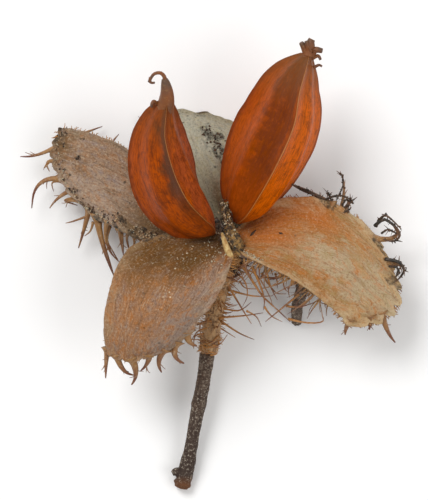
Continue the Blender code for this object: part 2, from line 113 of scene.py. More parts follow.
# Hooked teeth and stout spines on the edges: root, bend, tip and root radius
HOOKS = {
    "valve_front": (
        ((-10.3, -8.6, 7.5), (-10.7, -9.8, 7.1), (-10.7, -11.35, 7.1), 0.44),
        ((-9.15, -9.0, 8.0), (-9.2, -10.9, 7.7), (-7.85, -11.05, 7.5), 0.5),
        ((-7.85, -9.1, 8.7), (-7.2, -10.9, 8.2), (-8.1, -12.0, 7.6), 0.6),
        ((-6.45, -8.5, 9.0), (-6.3, -9.9, 8.7), (-7.2, -10.6, 8.4), 0.5),
        ((-5.4, -7.9, 9.1), (-5.8, -9.7, 8.9), (-5.1, -10.75, 8.4), 0.56),
        ((-4.25, -7.4, 9.0), (-4.3, -9.3, 8.9), (-2.85, -9.85, 8.7), 0.6),
        ((-2.75, -6.6, 9.2), (-2.6, -7.9, 9.1), (-1.55, -8.1, 8.9), 0.66),
    ),
    "valve_right": (
        ((16.9, -5.0, 6.0), (17.4, -6.8, 5.5), (18.35, -7.8, 5.0), 0.5),
        ((15.7, -5.2, 6.4), (15.8, -5.9, 6.2), (15.75, -6.5, 5.9), 0.46),
        ((13.6, -5.6, 7.0), (13.3, -6.3, 6.7), (13.3, -7.0, 6.3), 0.5),
        ((16.2, 2.4, 4.9), (19.6, 2.3, 4.9), (18.1, 4.0, 5.1), 0.42),
        ((17.4, 0.0, 5.4), (19.9, 0.6, 4.9), (19.0, -1.2, 4.8), 0.42),
        ((17.9, -1.6, 5.6), (18.6, -1.9, 5.2), (19.0, -2.7, 5.0), 0.3),
        ((11.6, 5.9, 6.3), (10.0, 7.3, 5.9), (8.3, 8.0, 5.6), 0.4),
        ((12.6, 5.4, 6.0), (13.5, 7.4, 5.6), (13.0, 9.1, 5.5), 0.3),
        ((13.0, 5.2, 5.9), (13.4, 6.3, 5.6), (14.2, 6.6, 5.4), 0.36),
    ),
    "valve_left": (
        ((-15.2, 12.0, 3.0), (-17.5, 10.7, 3.0), (-19.35, 10.9, 2.8), 0.36),
        ((-15.5, 10.5, 2.9), (-17.3, 10.8, 2.7), (-16.4, 9.4, 2.8), 0.32),
        ((-15.2, 8.8, 3.0), (-18.2, 9.2, 2.6), (-18.2, 5.7, 2.3), 0.42),
        ((-14.5, 7.4, 3.0), (-15.6, 7.0, 2.7), (-16.4, 5.7, 2.5), 0.36),
        ((-13.5, 6.7, 2.9), (-15.8, 6.6, 2.5), (-13.6, 6.0, 2.3), 0.3),
        ((-12.2, 5.2, 3.0), (-12.8, 3.9, 2.6), (-13.5, 1.7, 1.5), 0.46),
        ((-11.3, 4.9, 3.5), (-11.3, 2.0, 2.6), (-9.95, -1.1, 1.4), 0.42),
        ((-10.2, 4.3, 4.1), (-11.3, 1.9, 2.9), (-9.4, 0.3, 2.2), 0.36),
        ((-8.9, 3.7, 4.6), (-9.2, 2.4, 3.6), (-8.95, 0.9, 2.9), 0.32),
    ),
    "valve_back": (
        ((3.0, 13.0, 1.0), (4.4, 14.2, 1.6), (5.0, 13.4, 0.6), 0.36),
        ((-5.3, 14.2, 1.1), (-7.0, 15.0, 1.6), (-7.4, 14.0, 0.6), 0.36),
        ((-4.7, 14.6, 0.8), (-5.0, 15.6, 0.9), (-5.2, 16.0, 0.4), 0.34),
        ((2.7, 13.6, 0.8), (3.2, 14.4, 0.8), (3.0, 14.9, 0.4), 0.34),
    ),
}
# Fine barbs on each hook
BARBS = 3
# Longer hairs on the front valve's edge beside the neck
EXTRA_WOOL = {"valve_front": 260}
# Bristles that hang from one edge of each valve: side, from, to, how many, longest
FRINGES = {
    "valve_front": (1, 0.3, 0.95, 26, 1.5),
    "valve_right": (-1, 0.02, 0.62, 48, 4.2),
    "valve_left": (1, 0.25, 0.98, 46, 1.9),
    "valve_back": (1, 0.2, 0.9, 16, 2.0),
}
# Long bristles round the neck of the husk and under the right valve: radius, then the points
NECK_BRISTLES = (
    (0.22, (1.95, 0.4, 8.3), (3.2, -0.4, 8.2), (4.0, -1.6, 7.9), (5.0, -3.1, 7.4),
     (6.4, -4.4, 6.9), (7.8, -5.7, 6.4)),
    (0.17, (4.0, -0.2, 8.6), (4.8, -2.1, 8.0), (5.2, -3.5, 7.2), (5.1, -4.5, 6.6)),
    (0.15, (5.4, -0.6, 8.8), (5.8, -2.1, 7.9), (6.5, -3.5, 7.0)),
    (0.14, (4.9, -0.8, 8.0), (5.6, -1.9, 7.6), (6.4, -2.8, 7.2), (7.4, -2.9, 7.1)),
    (0.12, (6.3, -0.9, 8.5), (6.45, -1.6, 8.1), (6.5, -2.3, 7.8)),
    (0.12, (7.0, -1.0, 8.6), (7.2, -2.3, 7.9), (7.6, -2.7, 7.5)),
    (0.13, (4.8, -1.2, 7.3), (6.4, -1.3, 7.0), (7.5, -1.2, 6.8)),
    (0.15, (1.6, -2.5, 6.4), (4.0, -3.1, 6.6), (6.0, -3.1, 6.3)),
    (0.17, (9.1, -2.6, 6.7), (7.5, -3.9, 6.4), (5.3, -5.7, 5.8)),
    (0.14, (7.4, -4.1, 6.0), (8.8, -4.2, 6.2), (10.9, -3.5, 6.6)),
    (0.13, (5.2, -4.2, 6.2), (5.9, -5.1, 5.8), (7.0, -5.7, 5.4)),
    (0.14, (0.6, -5.3, 5.0), (3.1, -5.1, 5.4), (5.1, -4.8, 5.6)),
    (0.17, (1.3, -1.6, 6.8), (2.6, -3.8, 6.6), (3.9, -5.9, 6.0)),
    (0.13, (0.8, -4.3, 5.2), (2.4, -4.6, 5.3), (3.2, -4.3, 5.6), (3.9, -3.7, 5.9)),
    (0.15, (0.5, -5.4, 4.6), (2.6, -6.8, 4.6), (4.2, -7.5, 4.1)),
    (0.13, (0.2, -6.0, 4.3), (1.2, -6.6, 4.2), (2.3, -7.3, 3.9)),
    (0.12, (-0.2, -8.4, 3.9), (0.8, -7.9, 4.4), (1.5, -7.0, 4.6)),
    (0.13, (7.6, -5.4, 5.2), (9.4, -5.8, 5.6), (11.0, -5.7, 5.9), (11.0, -5.0, 6.2),
     (10.8, -3.8, 6.6)),
    (0.14, (-0.2, -6.3, 4.6), (-1.4, -6.6, 4.8), (-2.2, -7.7, 4.3)),
    (0.13, (-0.3, -6.9, 4.2), (-1.7, -7.1, 4.6), (-1.9, -8.4, 4.0)),
    (0.13, (0.1, -5.6, 4.9), (-1.2, -5.9, 5.3), (-1.0, -7.2, 5.2), (0.2, -7.8, 5.0)),
    (0.12, (0.5, -7.2, 4.6), (-0.4, -7.9, 5.0), (-1.5, -7.5, 4.8)),
    (0.12, (2.0, -0.5, 7.6), (3.2, -1.6, 7.6), (3.5, -3.0, 7.2), (3.0, -4.2, 6.8)),
    (0.12, (2.4, -0.2, 7.9), (4.3, -0.9, 8.0), (5.6, -2.9, 7.7), (6.0, -4.0, 7.3)),
    (0.11, (2.7, -1.6, 7.1), (3.3, -2.3, 7.2), (4.6, -2.4, 7.1)),
    (0.12, (3.4, -4.6, 6.2), (4.4, -5.2, 6.0), (4.9, -6.2, 5.6)),
)
# Withered bits caught on the edges: the curl on the right valve's tip, and dark twigs behind
CURL_BITS = (
    (0.3, (16.3, 3.9, 5.0), (17.2, 4.6, 5.6), (18.15, 3.9, 5.9), (18.75, 3.1, 5.8),
     (18.5, 2.5, 5.5), (17.75, 2.4, 5.3), (17.1, 2.6, 5.2)),
    (0.24, (16.6, 4.4, 5.1), (17.3, 4.9, 5.8), (18.0, 4.5, 6.1), (18.9, 3.6, 5.9)),
    (0.3, (17.3, 0.6, 5.6), (18.6, 0.3, 5.9), (19.2, -0.5, 5.7), (18.9, -1.2, 5.4),
     (18.1, -1.8, 5.4)),
    (0.2, (17.7, -0.1, 5.9), (18.5, -0.3, 6.1), (18.7, -0.9, 5.9), (18.2, -1.2, 5.7)),
    (0.2, (17.0, 3.2, 5.3), (17.6, 3.5, 5.8), (18.3, 3.3, 5.6)),
)
DARK_TWIGS = (
    (0.3, (11.6, 6.1, 6.4), (10.4, 7.0, 6.3), (9.2, 7.4, 6.2), (8.0, 8.1, 6.3), (7.6, 8.6, 6.2)),
    (0.2, (8.7, 7.7, 6.3), (9.4, 7.5, 6.8), (10.1, 7.1, 6.9), (11.3, 6.6, 6.8)),
    (0.22, (11.0, 6.4, 6.4), (12.2, 6.9, 6.7), (13.4, 6.8, 6.4), (13.5, 5.8, 6.2)),
    (0.14, (12.4, 6.6, 6.4), (13.1, 8.0, 6.3), (13.0, 9.2, 6.2)),
    (0.16, (12.0, 6.2, 6.5), (11.7, 7.0, 6.8), (11.6, 7.3, 7.0)),
    (0.16, (13.0, 6.0, 6.3), (13.6, 6.6, 6.5), (13.9, 6.3, 6.4)),
    (0.2, (12.4, 5.6, 6.4), (13.1, 5.2, 6.5), (13.9, 5.6, 6.4)),
)
# Thin bristles seen under the left valve: radius and points
LEFT_BRISTLES = (
    (0.16, (-8.5, 3.1, 5.0), (-8.6, 2.5, 4.2), (-8.4, 1.1, 3.4), (-9.3, -0.2, 2.6)),
    (0.2, (-11.4, 4.3, 3.6), (-11.0, 2.3, 3.0), (-10.4, 0.4, 2.2), (-9.95, -1.0, 1.5)),
    (0.15, (-10.3, 3.9, 4.0), (-10.6, 2.5, 3.4), (-10.0, 1.3, 2.9), (-9.4, 0.3, 2.4)),
    (0.14, (-9.1, 3.2, 4.6), (-9.0, 1.8, 3.7), (-8.95, 1.1, 3.1)),
    (0.14, (-12.0, 4.3, 3.3), (-12.3, 3.4, 2.8), (-12.9, 2.9, 2.4)),
    (0.15, (-7.9, 2.8, 5.0), (-7.9, 2.0, 4.4), (-8.6, 1.2, 4.0)),
    (0.13, (-13.6, 6.9, 3.0), (-14.9, 6.5, 2.6), (-14.0, 6.2, 2.4)),
    (0.14, (-14.9, 8.4, 3.0), (-16.1, 8.3, 2.7), (-16.0, 7.4, 2.5)),
    (0.13, (-12.6, 4.9, 3.1), (-14.0, 4.4, 2.6), (-14.8, 4.2, 2.3)),
    (0.13, (-7.4, 2.7, 5.2), (-6.9, 2.0, 4.6), (-6.5, 1.6, 4.2)),
)
# The woody spur under the right valve
SPUR_LINE = ((8.8, -0.6, 9.3), (8.95, -2.3, 6.7), (8.5, -4.3, 3.2), (8.5, -5.7, 0.14))
SPUR_RADII = (0.7, 0.6, 0.58, 0.5)
# The mouldy seam between the front and right valves, the pale lip beside it and two slits
SEAM_LINE = (
    (1.2, 6.2, 8.5), (1.4, 5.0, 8.9), (1.65, 3.7, 9.1), (2.15, 2.5, 9.2), (2.45, 1.4, 8.8),
    (2.7, 0.3, 8.1),
)
SEAM_RADII = (0.3, 0.34, 0.46, 0.7, 0.64, 0.36)
LIP_LINE = (
    (0.95, 3.2, 9.5), (1.15, 2.5, 9.9), (1.45, 1.6, 10.1), (1.8, 0.9, 10.0), (2.0, 0.5, 9.8),
)
LIP_RADII = (0.1, 0.26, 0.34, 0.26, 0.08)
SLITS = (((4.35, 3.5), (3.7, 2.8)), ((6.55, 3.25), (7.15, 3.0)))
STALK_LINE = (
    (-3.17, -22.4, 0.5), (-2.75, -21.1, 0.85), (-2.24, -18.7, 1.5), (-1.58, -15.1, 2.25),
    (-0.9, -11.6, 2.95), (-0.5, -8.95, 3.5),
)
STALK_RADII = (0.68, 0.8, 0.64, 0.66, 0.7, 0.7)
# Knots as the share of the way along, the height and the length
STALK_KNOTS = ((0.08, 0.16, 0.5), (0.34, 0.08, 0.5), (0.66, 0.07, 0.4), (0.97, 0.05, 0.5))
SCAR_LINE = ((-3.3, -20.9, 0.9), (-3.75, -20.9, 1.1), (-4.05, -21.05, 1.1))
SCAR_RADII = (0.5, 0.42, 0.26)
BASE_LINE = (
    (-0.49, -8.75, 3.5), (0.05, -5.7, 4.2), (0.65, -2.3, 5.4), (1.1, 0.6, 6.8), (1.4, 2.6, 7.9),
)
BASE_RADII = (0.8, 0.86, 0.98, 1.4, 1.2)
BASE_KNOTS = ((0.04, 0.16, 0.45), (0.16, 0.08, 0.5))
# Limbs: line, radii, sides, steps, height of the relief in millimetres, seed and knots
LIMBS = {
    "stalk_bark": (STALK_LINE, STALK_RADII, 40, 150, 0.13, 5, STALK_KNOTS),
    "stalk_scar": (SCAR_LINE, SCAR_RADII, 16, 10, 0.08, 9, ()),
    "spur": (SPUR_LINE, SPUR_RADII, 28, 60, 0.12, 12, ()),
    "neck": (BASE_LINE, BASE_RADII, 48, 90, 0.14, 15, BASE_KNOTS),
    "seam": (SEAM_LINE, SEAM_RADII, 36, 80, 0.34, 31, ()),
    "lip": (LIP_LINE, LIP_RADII, 20, 40, 0.1, 33, ()),
}
# Strands on the neck: the most golden bristles and how often one is tried, the strands wound
# round its low end, those of the tangle beside the seam with its middle, and the short hairs
MOST_GOLDEN = 130
GOLDEN_TRIES = 900
RING_STRANDS = 16
SWIRL_STRANDS = 26
SWIRL_PLACE = (2.1, -0.45, 8.5)
NECK_HAIRS = 500

# Nuts: the line through the shell, the widest radius of its ridges, the turn of the first ridge
# and the share of that radius at steps from foot to tip
NUTS = {
    "nut_left": (
        ((0.1, 3.2, 8.5), (-2.0, 4.9, 9.9), (-3.7, 7.2, 11.7), (-4.75, 10.2, 13.5),
         (-5.1, 13.4, 15.5), (-4.5, 16.4, 17.2)),
        3.95, -12.0, (0.12, 0.62, 0.86, 0.98, 1.0, 0.92, 0.76, 0.5, 0.13),
    ),
    "nut_right": (
        ((2.4, 4.3, 7.6), (3.9, 7.2, 8.5), (5.6, 10.6, 9.3), (7.2, 14.2, 10.1),
         (8.15, 17.8, 10.8), (9.5, 20.9, 11.1)),
        5.0, -12.0, (0.12, 0.6, 0.82, 0.94, 0.98, 0.92, 0.77, 0.53, 0.16),
    ),
}
NUT_SEEDS = {"nut_left": 41, "nut_right": 52}
NUT_RIDGES = 3
NUT_FACE_STEPS = 36
NUT_RINGS = 120
# How far a face swells in its middle and sinks beside its ridges, as shares of the radius
NUT_FACE_BULGE = 0.16
NUT_FLANK_HOLLOW = 0.07
# The dry remains of the flower on each tip: radius, then the points
NUT_TIPS = {
    "nut_left": (
        (1.05, (-4.95, 14.3, 15.7), (-4.65, 15.7, 16.7), (-4.55, 16.9, 17.4), (-4.65, 17.9, 17.8),
         (-4.72, 18.5, 17.95)),
        (0.2, (-4.68, 17.5, 17.75), (-4.72, 18.5, 18.0), (-5.0, 18.95, 18.1), (-5.4, 19.08, 18.12),
         (-5.85, 18.9, 18.12), (-6.1, 18.5, 18.1), (-6.28, 18.15, 18.05)),
        (0.15, (-6.12, 18.6, 18.08), (-6.25, 18.25, 18.02), (-6.0, 18.02, 18.0),
         (-5.75, 18.0, 18.0)),
        (0.18, (-5.5, 16.0, 16.6), (-5.8, 16.25, 16.9), (-6.05, 15.95, 17.0), (-6.0, 15.7, 16.9)),
    ),
    "nut_right": (
        (0.7, (9.2, 19.9, 10.95), (9.5, 20.8, 11.15), (9.65, 21.4, 11.3), (9.75, 21.8, 11.4)),
        (0.46, (9.55, 20.9, 11.2), (9.75, 21.8, 11.4), (9.85, 22.2, 11.5), (9.9, 22.5, 11.5)),
        (0.36, (9.4, 21.0, 11.2), (9.2, 21.7, 11.5), (8.8, 22.15, 11.7)),
        (0.36, (9.8, 21.0, 11.2), (10.3, 21.5, 11.4), (10.95, 21.35, 11.5)),
        (0.24, (9.9, 20.6, 11.0), (10.5, 20.8, 11.1), (10.8, 20.5, 11.1)),
        (0.26, (9.6, 21.4, 11.5), (9.5, 22.0, 11.8), (9.3, 22.3, 11.9)),
        (0.16, (10.1, 19.7, 10.9), (10.6, 19.95, 11.0), (10.9, 19.8, 11.0)),
    ),
}

# Stage: the floor in millimetres and the rest in metres and watts. Each lamp is its name, place,
# size and power. The camera looks straight down from far off, through a long lens
FLOOR_RADIUS = 1500.0
SKY_COLOUR = (1.0, 0.99, 0.975)
SKY_STRENGTH = 0.54
LAMPS = (("key", (-0.2, 0.24, 0.4), 0.26, 1.45), ("fill", (0.3, -0.1, 0.34), 0.3, 0.5))
LIT_PLACE = (0.0, 0.0, 0.01)
CAMERA_PLACE = (0.15 * MM, 1.5 * MM, 1.0)
CAMERA_LENS = 713.5
SENSOR_HEIGHT = 36.0
CLIP_END = 10.0

# Ragged bits round the tuft on the right nut
TUFT_BITS = {"nut_right": 12}
TUFT_PLACE = (9.75, 21.3, 11.35)

# Black and pale crumbs: those along the seam, and heaps as a place, its spread and how many
SEAM_CRUMBS = 520
HEAPS = (
    ((2.9, 0.6, 8.8), 0.22, 60), ((2.2, -0.5, 8.3), 0.3, 60), ((1.3, -1.2, 8.1), 0.25, 24),
)
# Where mould sits on the right valve's edge, as (along, across), and under the left nut
RIGHT_EDGE_MOULD = ((0.1, -0.85), (0.13, -0.95), (0.17, -0.9), (0.2, -1.0))
UNDER_NUT_MOULD = (
    (-0.5, 3.15), (-1.3, 3.2), (-2.0, 3.2), (-2.8, 3.2), (-3.4, 3.15), (0.3, 3.3),
)
LEFT_EDGE_CRUMBS = 330
# Black crumbs along the front valve's edge under the left nut: painted shadow
FRONT_EDGE_SHADOW_CRUMBS = 150
FRONT_SAND = 70
RIGHT_EDGE_HEAP = 14
UNDER_NUT_HEAP = 5
# Crumbs on a spot of soot, for a spot as large as its valve
SOOT_CRUMBS = 160
# Side twigs and clinging crumbs on each withered twig
SIDE_TWIGS = 7
TWIG_CRUMBS = 16


def colour_from_hex(code):
    """The linear red, green and blue of an sRGB hex colour."""
    parts = [int(code[k:k + 2], 16) / 255 for k in (1, 3, 5)]
    return tuple(c / 12.92 if c <= 0.04045 else ((c + 0.055) / 1.055) ** 2.4 for c in parts)


def colour_setting(label, code, about):
    return FloatVectorProperty(
        name=label, description=about, default=colour_from_hex(code), subtype="COLOR",
        size=3, min=0.0, max=1.0,
    )


def length_setting(label, millimetres, about):
    return FloatProperty(
        name=label, description=about, default=millimetres * MM, unit="LENGTH", min=0.0,
    )


class HuskSizes(bpy.types.PropertyGroup):
    """Sizes of the husk's finer forms."""

    wall: length_setting("Valve wall", 0.8, "Thickness of a valve in its middle")
    wrinkle: length_setting("Wrinkle height", 0.16, "Height of the soft folds on a valve")
    fibre: length_setting("Fibre height", 0.035, "Height of the lengthwise fibres on a valve")
    spine_length: length_setting("Spine length", 4.4, "Longest spines on the backs")
    spine_radius: length_setting("Spine radius", 0.2, "Radius of a spine at its root")
    hook_share: FloatProperty(name="Hook thickness", description="Share of the solids' hooks",
                              default=0.72, min=0.1, max=1.5, subtype="FACTOR")
    fuzz_length: length_setting("Fuzz length", 0.75, "Length of the fine hairs on the edges")
    spines: IntProperty(name="Spines", description="Spines on the back of each valve",
                        default=150, min=0, max=400)
    fuzz: IntProperty(name="Fuzz", description="Fine hairs on the edges of each valve",
                      default=420, min=0, max=2000)


class NutSizes(bpy.types.PropertyGroup):
    """Sizes of the nuts' finer forms."""

    ripple: length_setting("Ripple height", 0.05, "Height of the long ripples on the shell")
    keel: length_setting("Keel height", 0.12, "Height of the thin keel on each ridge")


class HuskColours(bpy.types.PropertyGroup):
    """Colours of the husk, stalk and nuts."""

    # Pale silky hairs; the same colour paints sheen on the valves and glints on the spines
    silk_and_sheen: colour_setting("Silky hairs", "#cdbda4", "Pale hairs that lie on the valves")
    felt: colour_setting("Back felt", "#7a5230", "Felt on the backs of the valves")
    felt_dark: colour_setting("Back felt, dark", "#4d3220", "Hollows of the felt")
    spine_root: colour_setting("Spine root", "#9a7042", "Root of a spine")
    spine_tip: colour_setting("Spine tip", "#6a3a26", "Tip of a spine")
    bristle: colour_setting("Golden bristle", "#b57b3c", "Bristles round the neck")
    bark: colour_setting("Bark", "#5f4e41", "Stalk")
    bark_dark: colour_setting("Bark, dark", "#3a2d27", "Furrows of the stalk")
    bark_pale: colour_setting("Bark, pale", "#8b7a6a", "Worn ridges of the stalk")
    neck: colour_setting("Neck", "#c09a6e", "Neck of the husk")
    neck_dark: colour_setting("Neck, dark", "#6a4a33", "Hollows of the neck")
    sand: colour_setting("Sand", "#d8cdb2", "Bright grains of sand on the valves")
    mould: colour_setting("Mould", "#aca894", "Pale crumbs of mould and sand")
    # Dark mould, also the colour of the painted shadow under the left nut
    soot: colour_setting("Dark mould", "#2c2822", "Black specks and withered bits")
    shell_amber: colour_setting("Shell, amber", "#d86400", "Brightest part of the shell")
    shell_orange: colour_setting("Shell, orange", "#ab4a06", "Margins of the shell's faces")
    shell_red: colour_setting("Shell, red brown", "#ac5024", "Right face of the left nut")
    shell_dark: colour_setting("Shell, dark", "#5c2a14", "Dark band along the shell")
    # Painted highlight along the ridge of a nut that faces up
    shell_ridge_highlight: colour_setting("Shell, ridge", "#c08448", "Worn ridge of the shell")
    floor: colour_setting("Floor", "#fdfdfd", "Floor under the husk")


# The colours of each valve's inside, part by part, as more settings of the same group. The side
# colour is that of the band of painted sheen, and the front valve's dark base is partly painted
# shade under the nuts
VALVE_PARTS = ("base", "middle", "tip", "side")
VALVE_COLOURS = {
    "front": ("#74461f", "#a1714a", "#9a7050", "#93847a"),
    "right": ("#9f642a", "#9c6e3c", "#c8a272", "#b8a484"),
    "left": ("#6f5232", "#a3866f", "#83603f", "#b09884"),
    "back": ("#aba082", "#a8a898", "#a1947a", "#b2ae9c"),
}
for valve, codes in VALVE_COLOURS.items():
    for part, code in zip(VALVE_PARTS, codes):
        HuskColours.__annotations__[f"{valve}_{part}"] = colour_setting(
            f"{valve.title()} valve, {part}", code, f"Inside of the {valve} valve at its {part}",
        )


# Geometry shared by the pieces


def smooth_line(points, share):
    """The point at a share of the way along a smooth curve through the given points."""
    last = len(points) - 1
    along = share * last
    k = min(max(int(along), 0), last - 1)
    f = along - k
    p0, p1, p2, p3 = (Vector(points[min(max(k + step, 0), last)]) for step in (-1, 0, 1, 2))
    return 0.5 * (
        2 * p1 + (p2 - p0) * f + (2 * p0 - 5 * p1 + 4 * p2 - p3) * f**2
        + (3 * p1 - p0 - 3 * p2 + p3) * f**3
    )


def smooth_value(values, share):
    """The same curve through plain numbers."""
    return smooth_line([(value, 0.0, 0.0) for value in values], share).x


def bend_line(root, bend, tip, count):
    """Points along the curve that leaves the root towards the bend and ends at the tip."""
    root, bend, tip = Vector(root), Vector(bend), Vector(tip)
    shares = [k / (count - 1) for k in range(count)]
    return [root * (1 - f) ** 2 + bend * 2 * f * (1 - f) + tip * f**2 for f in shares]


def ease(low, high, value):
    """0 below low, 1 above high and a smooth step between them."""
    share = min(max((value - low) / (high - low), 0.0), 1.0)
    return share * share * (3 - 2 * share)


def rough(place, pitch, seed):
    """Smooth noise from -1 to 1, with bumps of about the given pitch."""
    return noise.noise(Vector(place) / pitch + Vector((seed * 7.3, seed * 3.1, seed * 5.7)))


def valve_point(edges, along, across):
    """A point on the inside of a valve: along from 0 at the base to 1, across from -1 to 1."""
    right, middle, left = (smooth_line(edge, along) for edge in edges)
    return middle + (left - right) * (across / 2) + ((left + right) / 2 - middle) * across**2


def valve_outward(edges, along, across):
    """The way out through the back of a valve."""
    step = 0.02
    lengthwise = valve_point(edges, along + step, across) - valve_point(edges, along - step, across)
    crosswise = valve_point(edges, along, across + step) - valve_point(edges, along, across - step)
    return crosswise.cross(lengthwise).normalized()


def edge_frame(edges, along, across, furthest=0.97):
    """A place on a valve, with the ways out of its back, to its tip and to its edge."""
    here = valve_point(edges, along, across)
    outward = valve_outward(edges, min(along, furthest), across)
    ahead = (here - valve_point(edges, along - 0.02, across)).normalized()
    sideways = (here - valve_point(edges, along, across * 0.9)).normalized()
    return here, outward, ahead, sideways


def line_frame(line, along):
    """A place on a line with the ways to its side and up from it."""
    ahead = (smooth_line(line, along + 0.02) - smooth_line(line, along - 0.02)).normalized()
    side = ahead.cross(Vector((0.0, 0.0, 1.0))).normalized()
    return smooth_line(line, along), side, side.cross(ahead)


def nut_point(line, widest, turn, profile, along, around):
    """A point on a nut's shell: along from its foot to its tip, around in ridges from 0 to 3."""
    middle, side, up = line_frame(line, along)
    radius = widest * smooth_value(profile, along)

    def ridge(number):
        angle = math.radians(90 + turn + 360 / NUT_RIDGES * number)
        return (side * math.cos(angle) + up * math.sin(angle)) * radius

    face = int(around) % NUT_RIDGES
    share = around - int(around)
    share = share - math.sin(2 * math.pi * share) / (4 * math.pi)
    chord = ridge(face) * (1 - share) + ridge(face + 1) * share
    outward = (ridge(face) + ridge(face + 1)).normalized()
    swell = NUT_FACE_BULGE * math.sin(math.pi * share) ** 2 * (1.3 - along)
    flank = NUT_FLANK_HOLLOW * math.sin(2 * math.pi * share) ** 2
    return middle + chord + outward * radius * (swell - flank)


def shaken(draw, spread):
    """A small random shift."""
    return Vector([draw.gauss(0, spread) for _ in range(3)])


def stacked_rings(sides, steps):
    """A closed cylinder of height 1 round the origin, cut into rings, to be bent and shaped."""
    bm = bmesh.new()
    bmesh.ops.create_cone(bm, cap_ends=True, segments=sides, radius1=1.0, radius2=1.0, depth=1.0)
    for k in range(1, steps):
        everything = bm.verts[:] + bm.edges[:] + bm.faces[:]
        level = (0.0, 0.0, k / steps - 0.5)
        bmesh.ops.bisect_plane(bm, geom=everything, plane_co=level, plane_no=(0.0, 0.0, 1.0))
    return bm


def link(name, mesh):
    obj = bpy.data.objects.new(name, mesh)
    bpy.context.scene.collection.objects.link(obj)
    return obj


def settle(obj):
    """Replaces the object's mesh by what its modifiers make of it."""
    bpy.context.view_layer.update()
    graph = bpy.context.evaluated_depsgraph_get()
    mesh = bpy.data.meshes.new_from_object(obj.evaluated_get(graph))
    obj.modifiers.clear()
    obj.data = mesh


def to_object(name, bm):
    """Ends a bmesh, made in millimetres, as an object in metres that stays above the floor."""
    for vertex in bm.verts:
        vertex.co.z = max(vertex.co.z, 0.0)
    bmesh.ops.scale(bm, vec=(MM,) * 3, verts=bm.verts[:])
    mesh = bpy.data.meshes.new(name)
    bm.to_mesh(mesh)
    bm.free()
    mesh.shade_smooth()
    return link(name, mesh)


def face_out(bm):
    """Turns the faces of closed shapes outwards."""
    bmesh.ops.recalc_face_normals(bm, faces=bm.faces[:])
    if bm.calc_volume(signed=True) < 0:
        bmesh.ops.reverse_faces(bm, faces=bm.faces[:])


def dress(piece, slot, *finishes, node=None):
    """Gives a piece its finishes, its body and the node that it replaces. The slot is not used."""
    for finish in finishes:
        piece.data.materials.append(finish)
    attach(piece, "root")
    if node:
        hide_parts(node)


def strands(name, lines, sides):
    """Closed tapered limbs in one mesh, from lists of points with radii.

    The attribute tip runs from 0 at each root to 1 at each tip.
    """
    curve = bpy.data.curves.new(name, "CURVE")
    curve.dimensions = "3D"
    curve.bevel_depth = 1.0
    curve.bevel_resolution = (sides - 4) // 2
    curve.use_fill_caps = True
    tips = []
    for points, radii in lines:
        spline = curve.splines.new("POLY")
        spline.points.add(len(points) - 1)
        for point, place, radius in zip(spline.points, points, radii):
            point.co = (*place, 1.0)
            point.radius = radius
        for k in range(len(points)):
            tips += [k / (len(points) - 1)] * sides
    guide = link(name + "_line", curve)
    bpy.context.view_layer.update()
    graph = bpy.context.evaluated_depsgraph_get()
    mesh = bpy.data.meshes.new_from_object(guide.evaluated_get(graph))
    bpy.data.objects.remove(guide)
    # The mesh lists the caps first, each limb's tip before its root, and then the walls
    tips = ([1.0] * sides + [0.0] * sides) * len(lines) + tips
    if len(mesh.vertices) != len(tips):
        raise RuntimeError(f"{name}: {len(mesh.vertices)} points for {len(tips)}")
    mesh.attributes.new("tip", "FLOAT", "POINT").data.foreach_set("value", tips)
    bm = bmesh.new()
    bm.from_mesh(mesh)
    bmesh.ops.remove_doubles(bm, verts=bm.verts[:], dist=0.0001)
    face_out(bm)
    return to_object(name, bm)


def tapered(points, root_radius, count, end_share=0.22, flare=0.35):
    """Points and radii of a spine through the given points, with a flared root and a fine tip."""
    shares = [k / (count - 1) for k in range(count)]
    places = [smooth_line(points, share) for share in shares]
    radii = [
        root_radius * (1 - (1 - end_share) * share**1.15) * (1 + flare * max(0.0, 1 - share * 6))
        for share in shares
    ]
    return places, radii


# The name for a MapRange that eases in and out between its ends
SOFT = "SMOOTHSTEP"


def add_node(tree, kind, inputs=(), give=0, **settings):
    """Adds a shader node and gives one of its outputs.

    An input takes a value or another node's output. The inputs of a MapRange are its value, the
    two ends of the range that it reads and the two ends of the range that it gives.
    """
    node = tree.nodes.new("ShaderNode" + kind)
    for name, value in settings.items():
        setattr(node, name, value)
    for socket, value in inputs.items() if isinstance(inputs, dict) else enumerate(inputs):
        if isinstance(value, bpy.types.NodeSocket):
            tree.links.new(value, node.inputs[socket])
        else:
            node.inputs[socket].default_value = value
    return node.outputs[give]


def new_finish(name, roughness, **constants):
    """A material, with what is the same all over set on its shader, and what adds its nodes."""
    material = bpy.data.materials.new(name)
    material.use_nodes = True
    shader = material.node_tree.nodes["Principled BSDF"]
    shader.inputs["Roughness"].default_value = roughness
    for socket, value in constants.items():
        shader.inputs[socket.replace("_", " ")].default_value = value
    return material, partial(add_node, material.node_tree)


def finish_off(material, colour, relief=None, strength=0.0, depth=0.0):
    """Gives a new finish its colour and a fine relief, with its depth in millimetres."""
    tree = material.node_tree
    shader = tree.nodes["Principled BSDF"]
    tree.links.new(colour, shader.inputs["Base Color"])
    if relief is not None:
        sizes = {"Height": relief, "Strength": strength, "Distance": depth * MM}
        tree.links.new(add_node(tree, "Bump", sizes), shader.inputs["Normal"])
    return material


def opaque(colour):
    return (*colour, 1.0)


def coats(add, ground, layers):
    """Lays each colour over the ones before it, as thick as its share says."""
    shown = ground
    for colour, share in layers:
        over = colour if isinstance(colour, bpy.types.NodeSocket) else opaque(colour)
        below = shown if isinstance(shown, bpy.types.NodeSocket) else opaque(shown)
        shown = add("Mix", {0: share, 6: below, 7: over}, give=2, data_type="RGBA")
    return shown


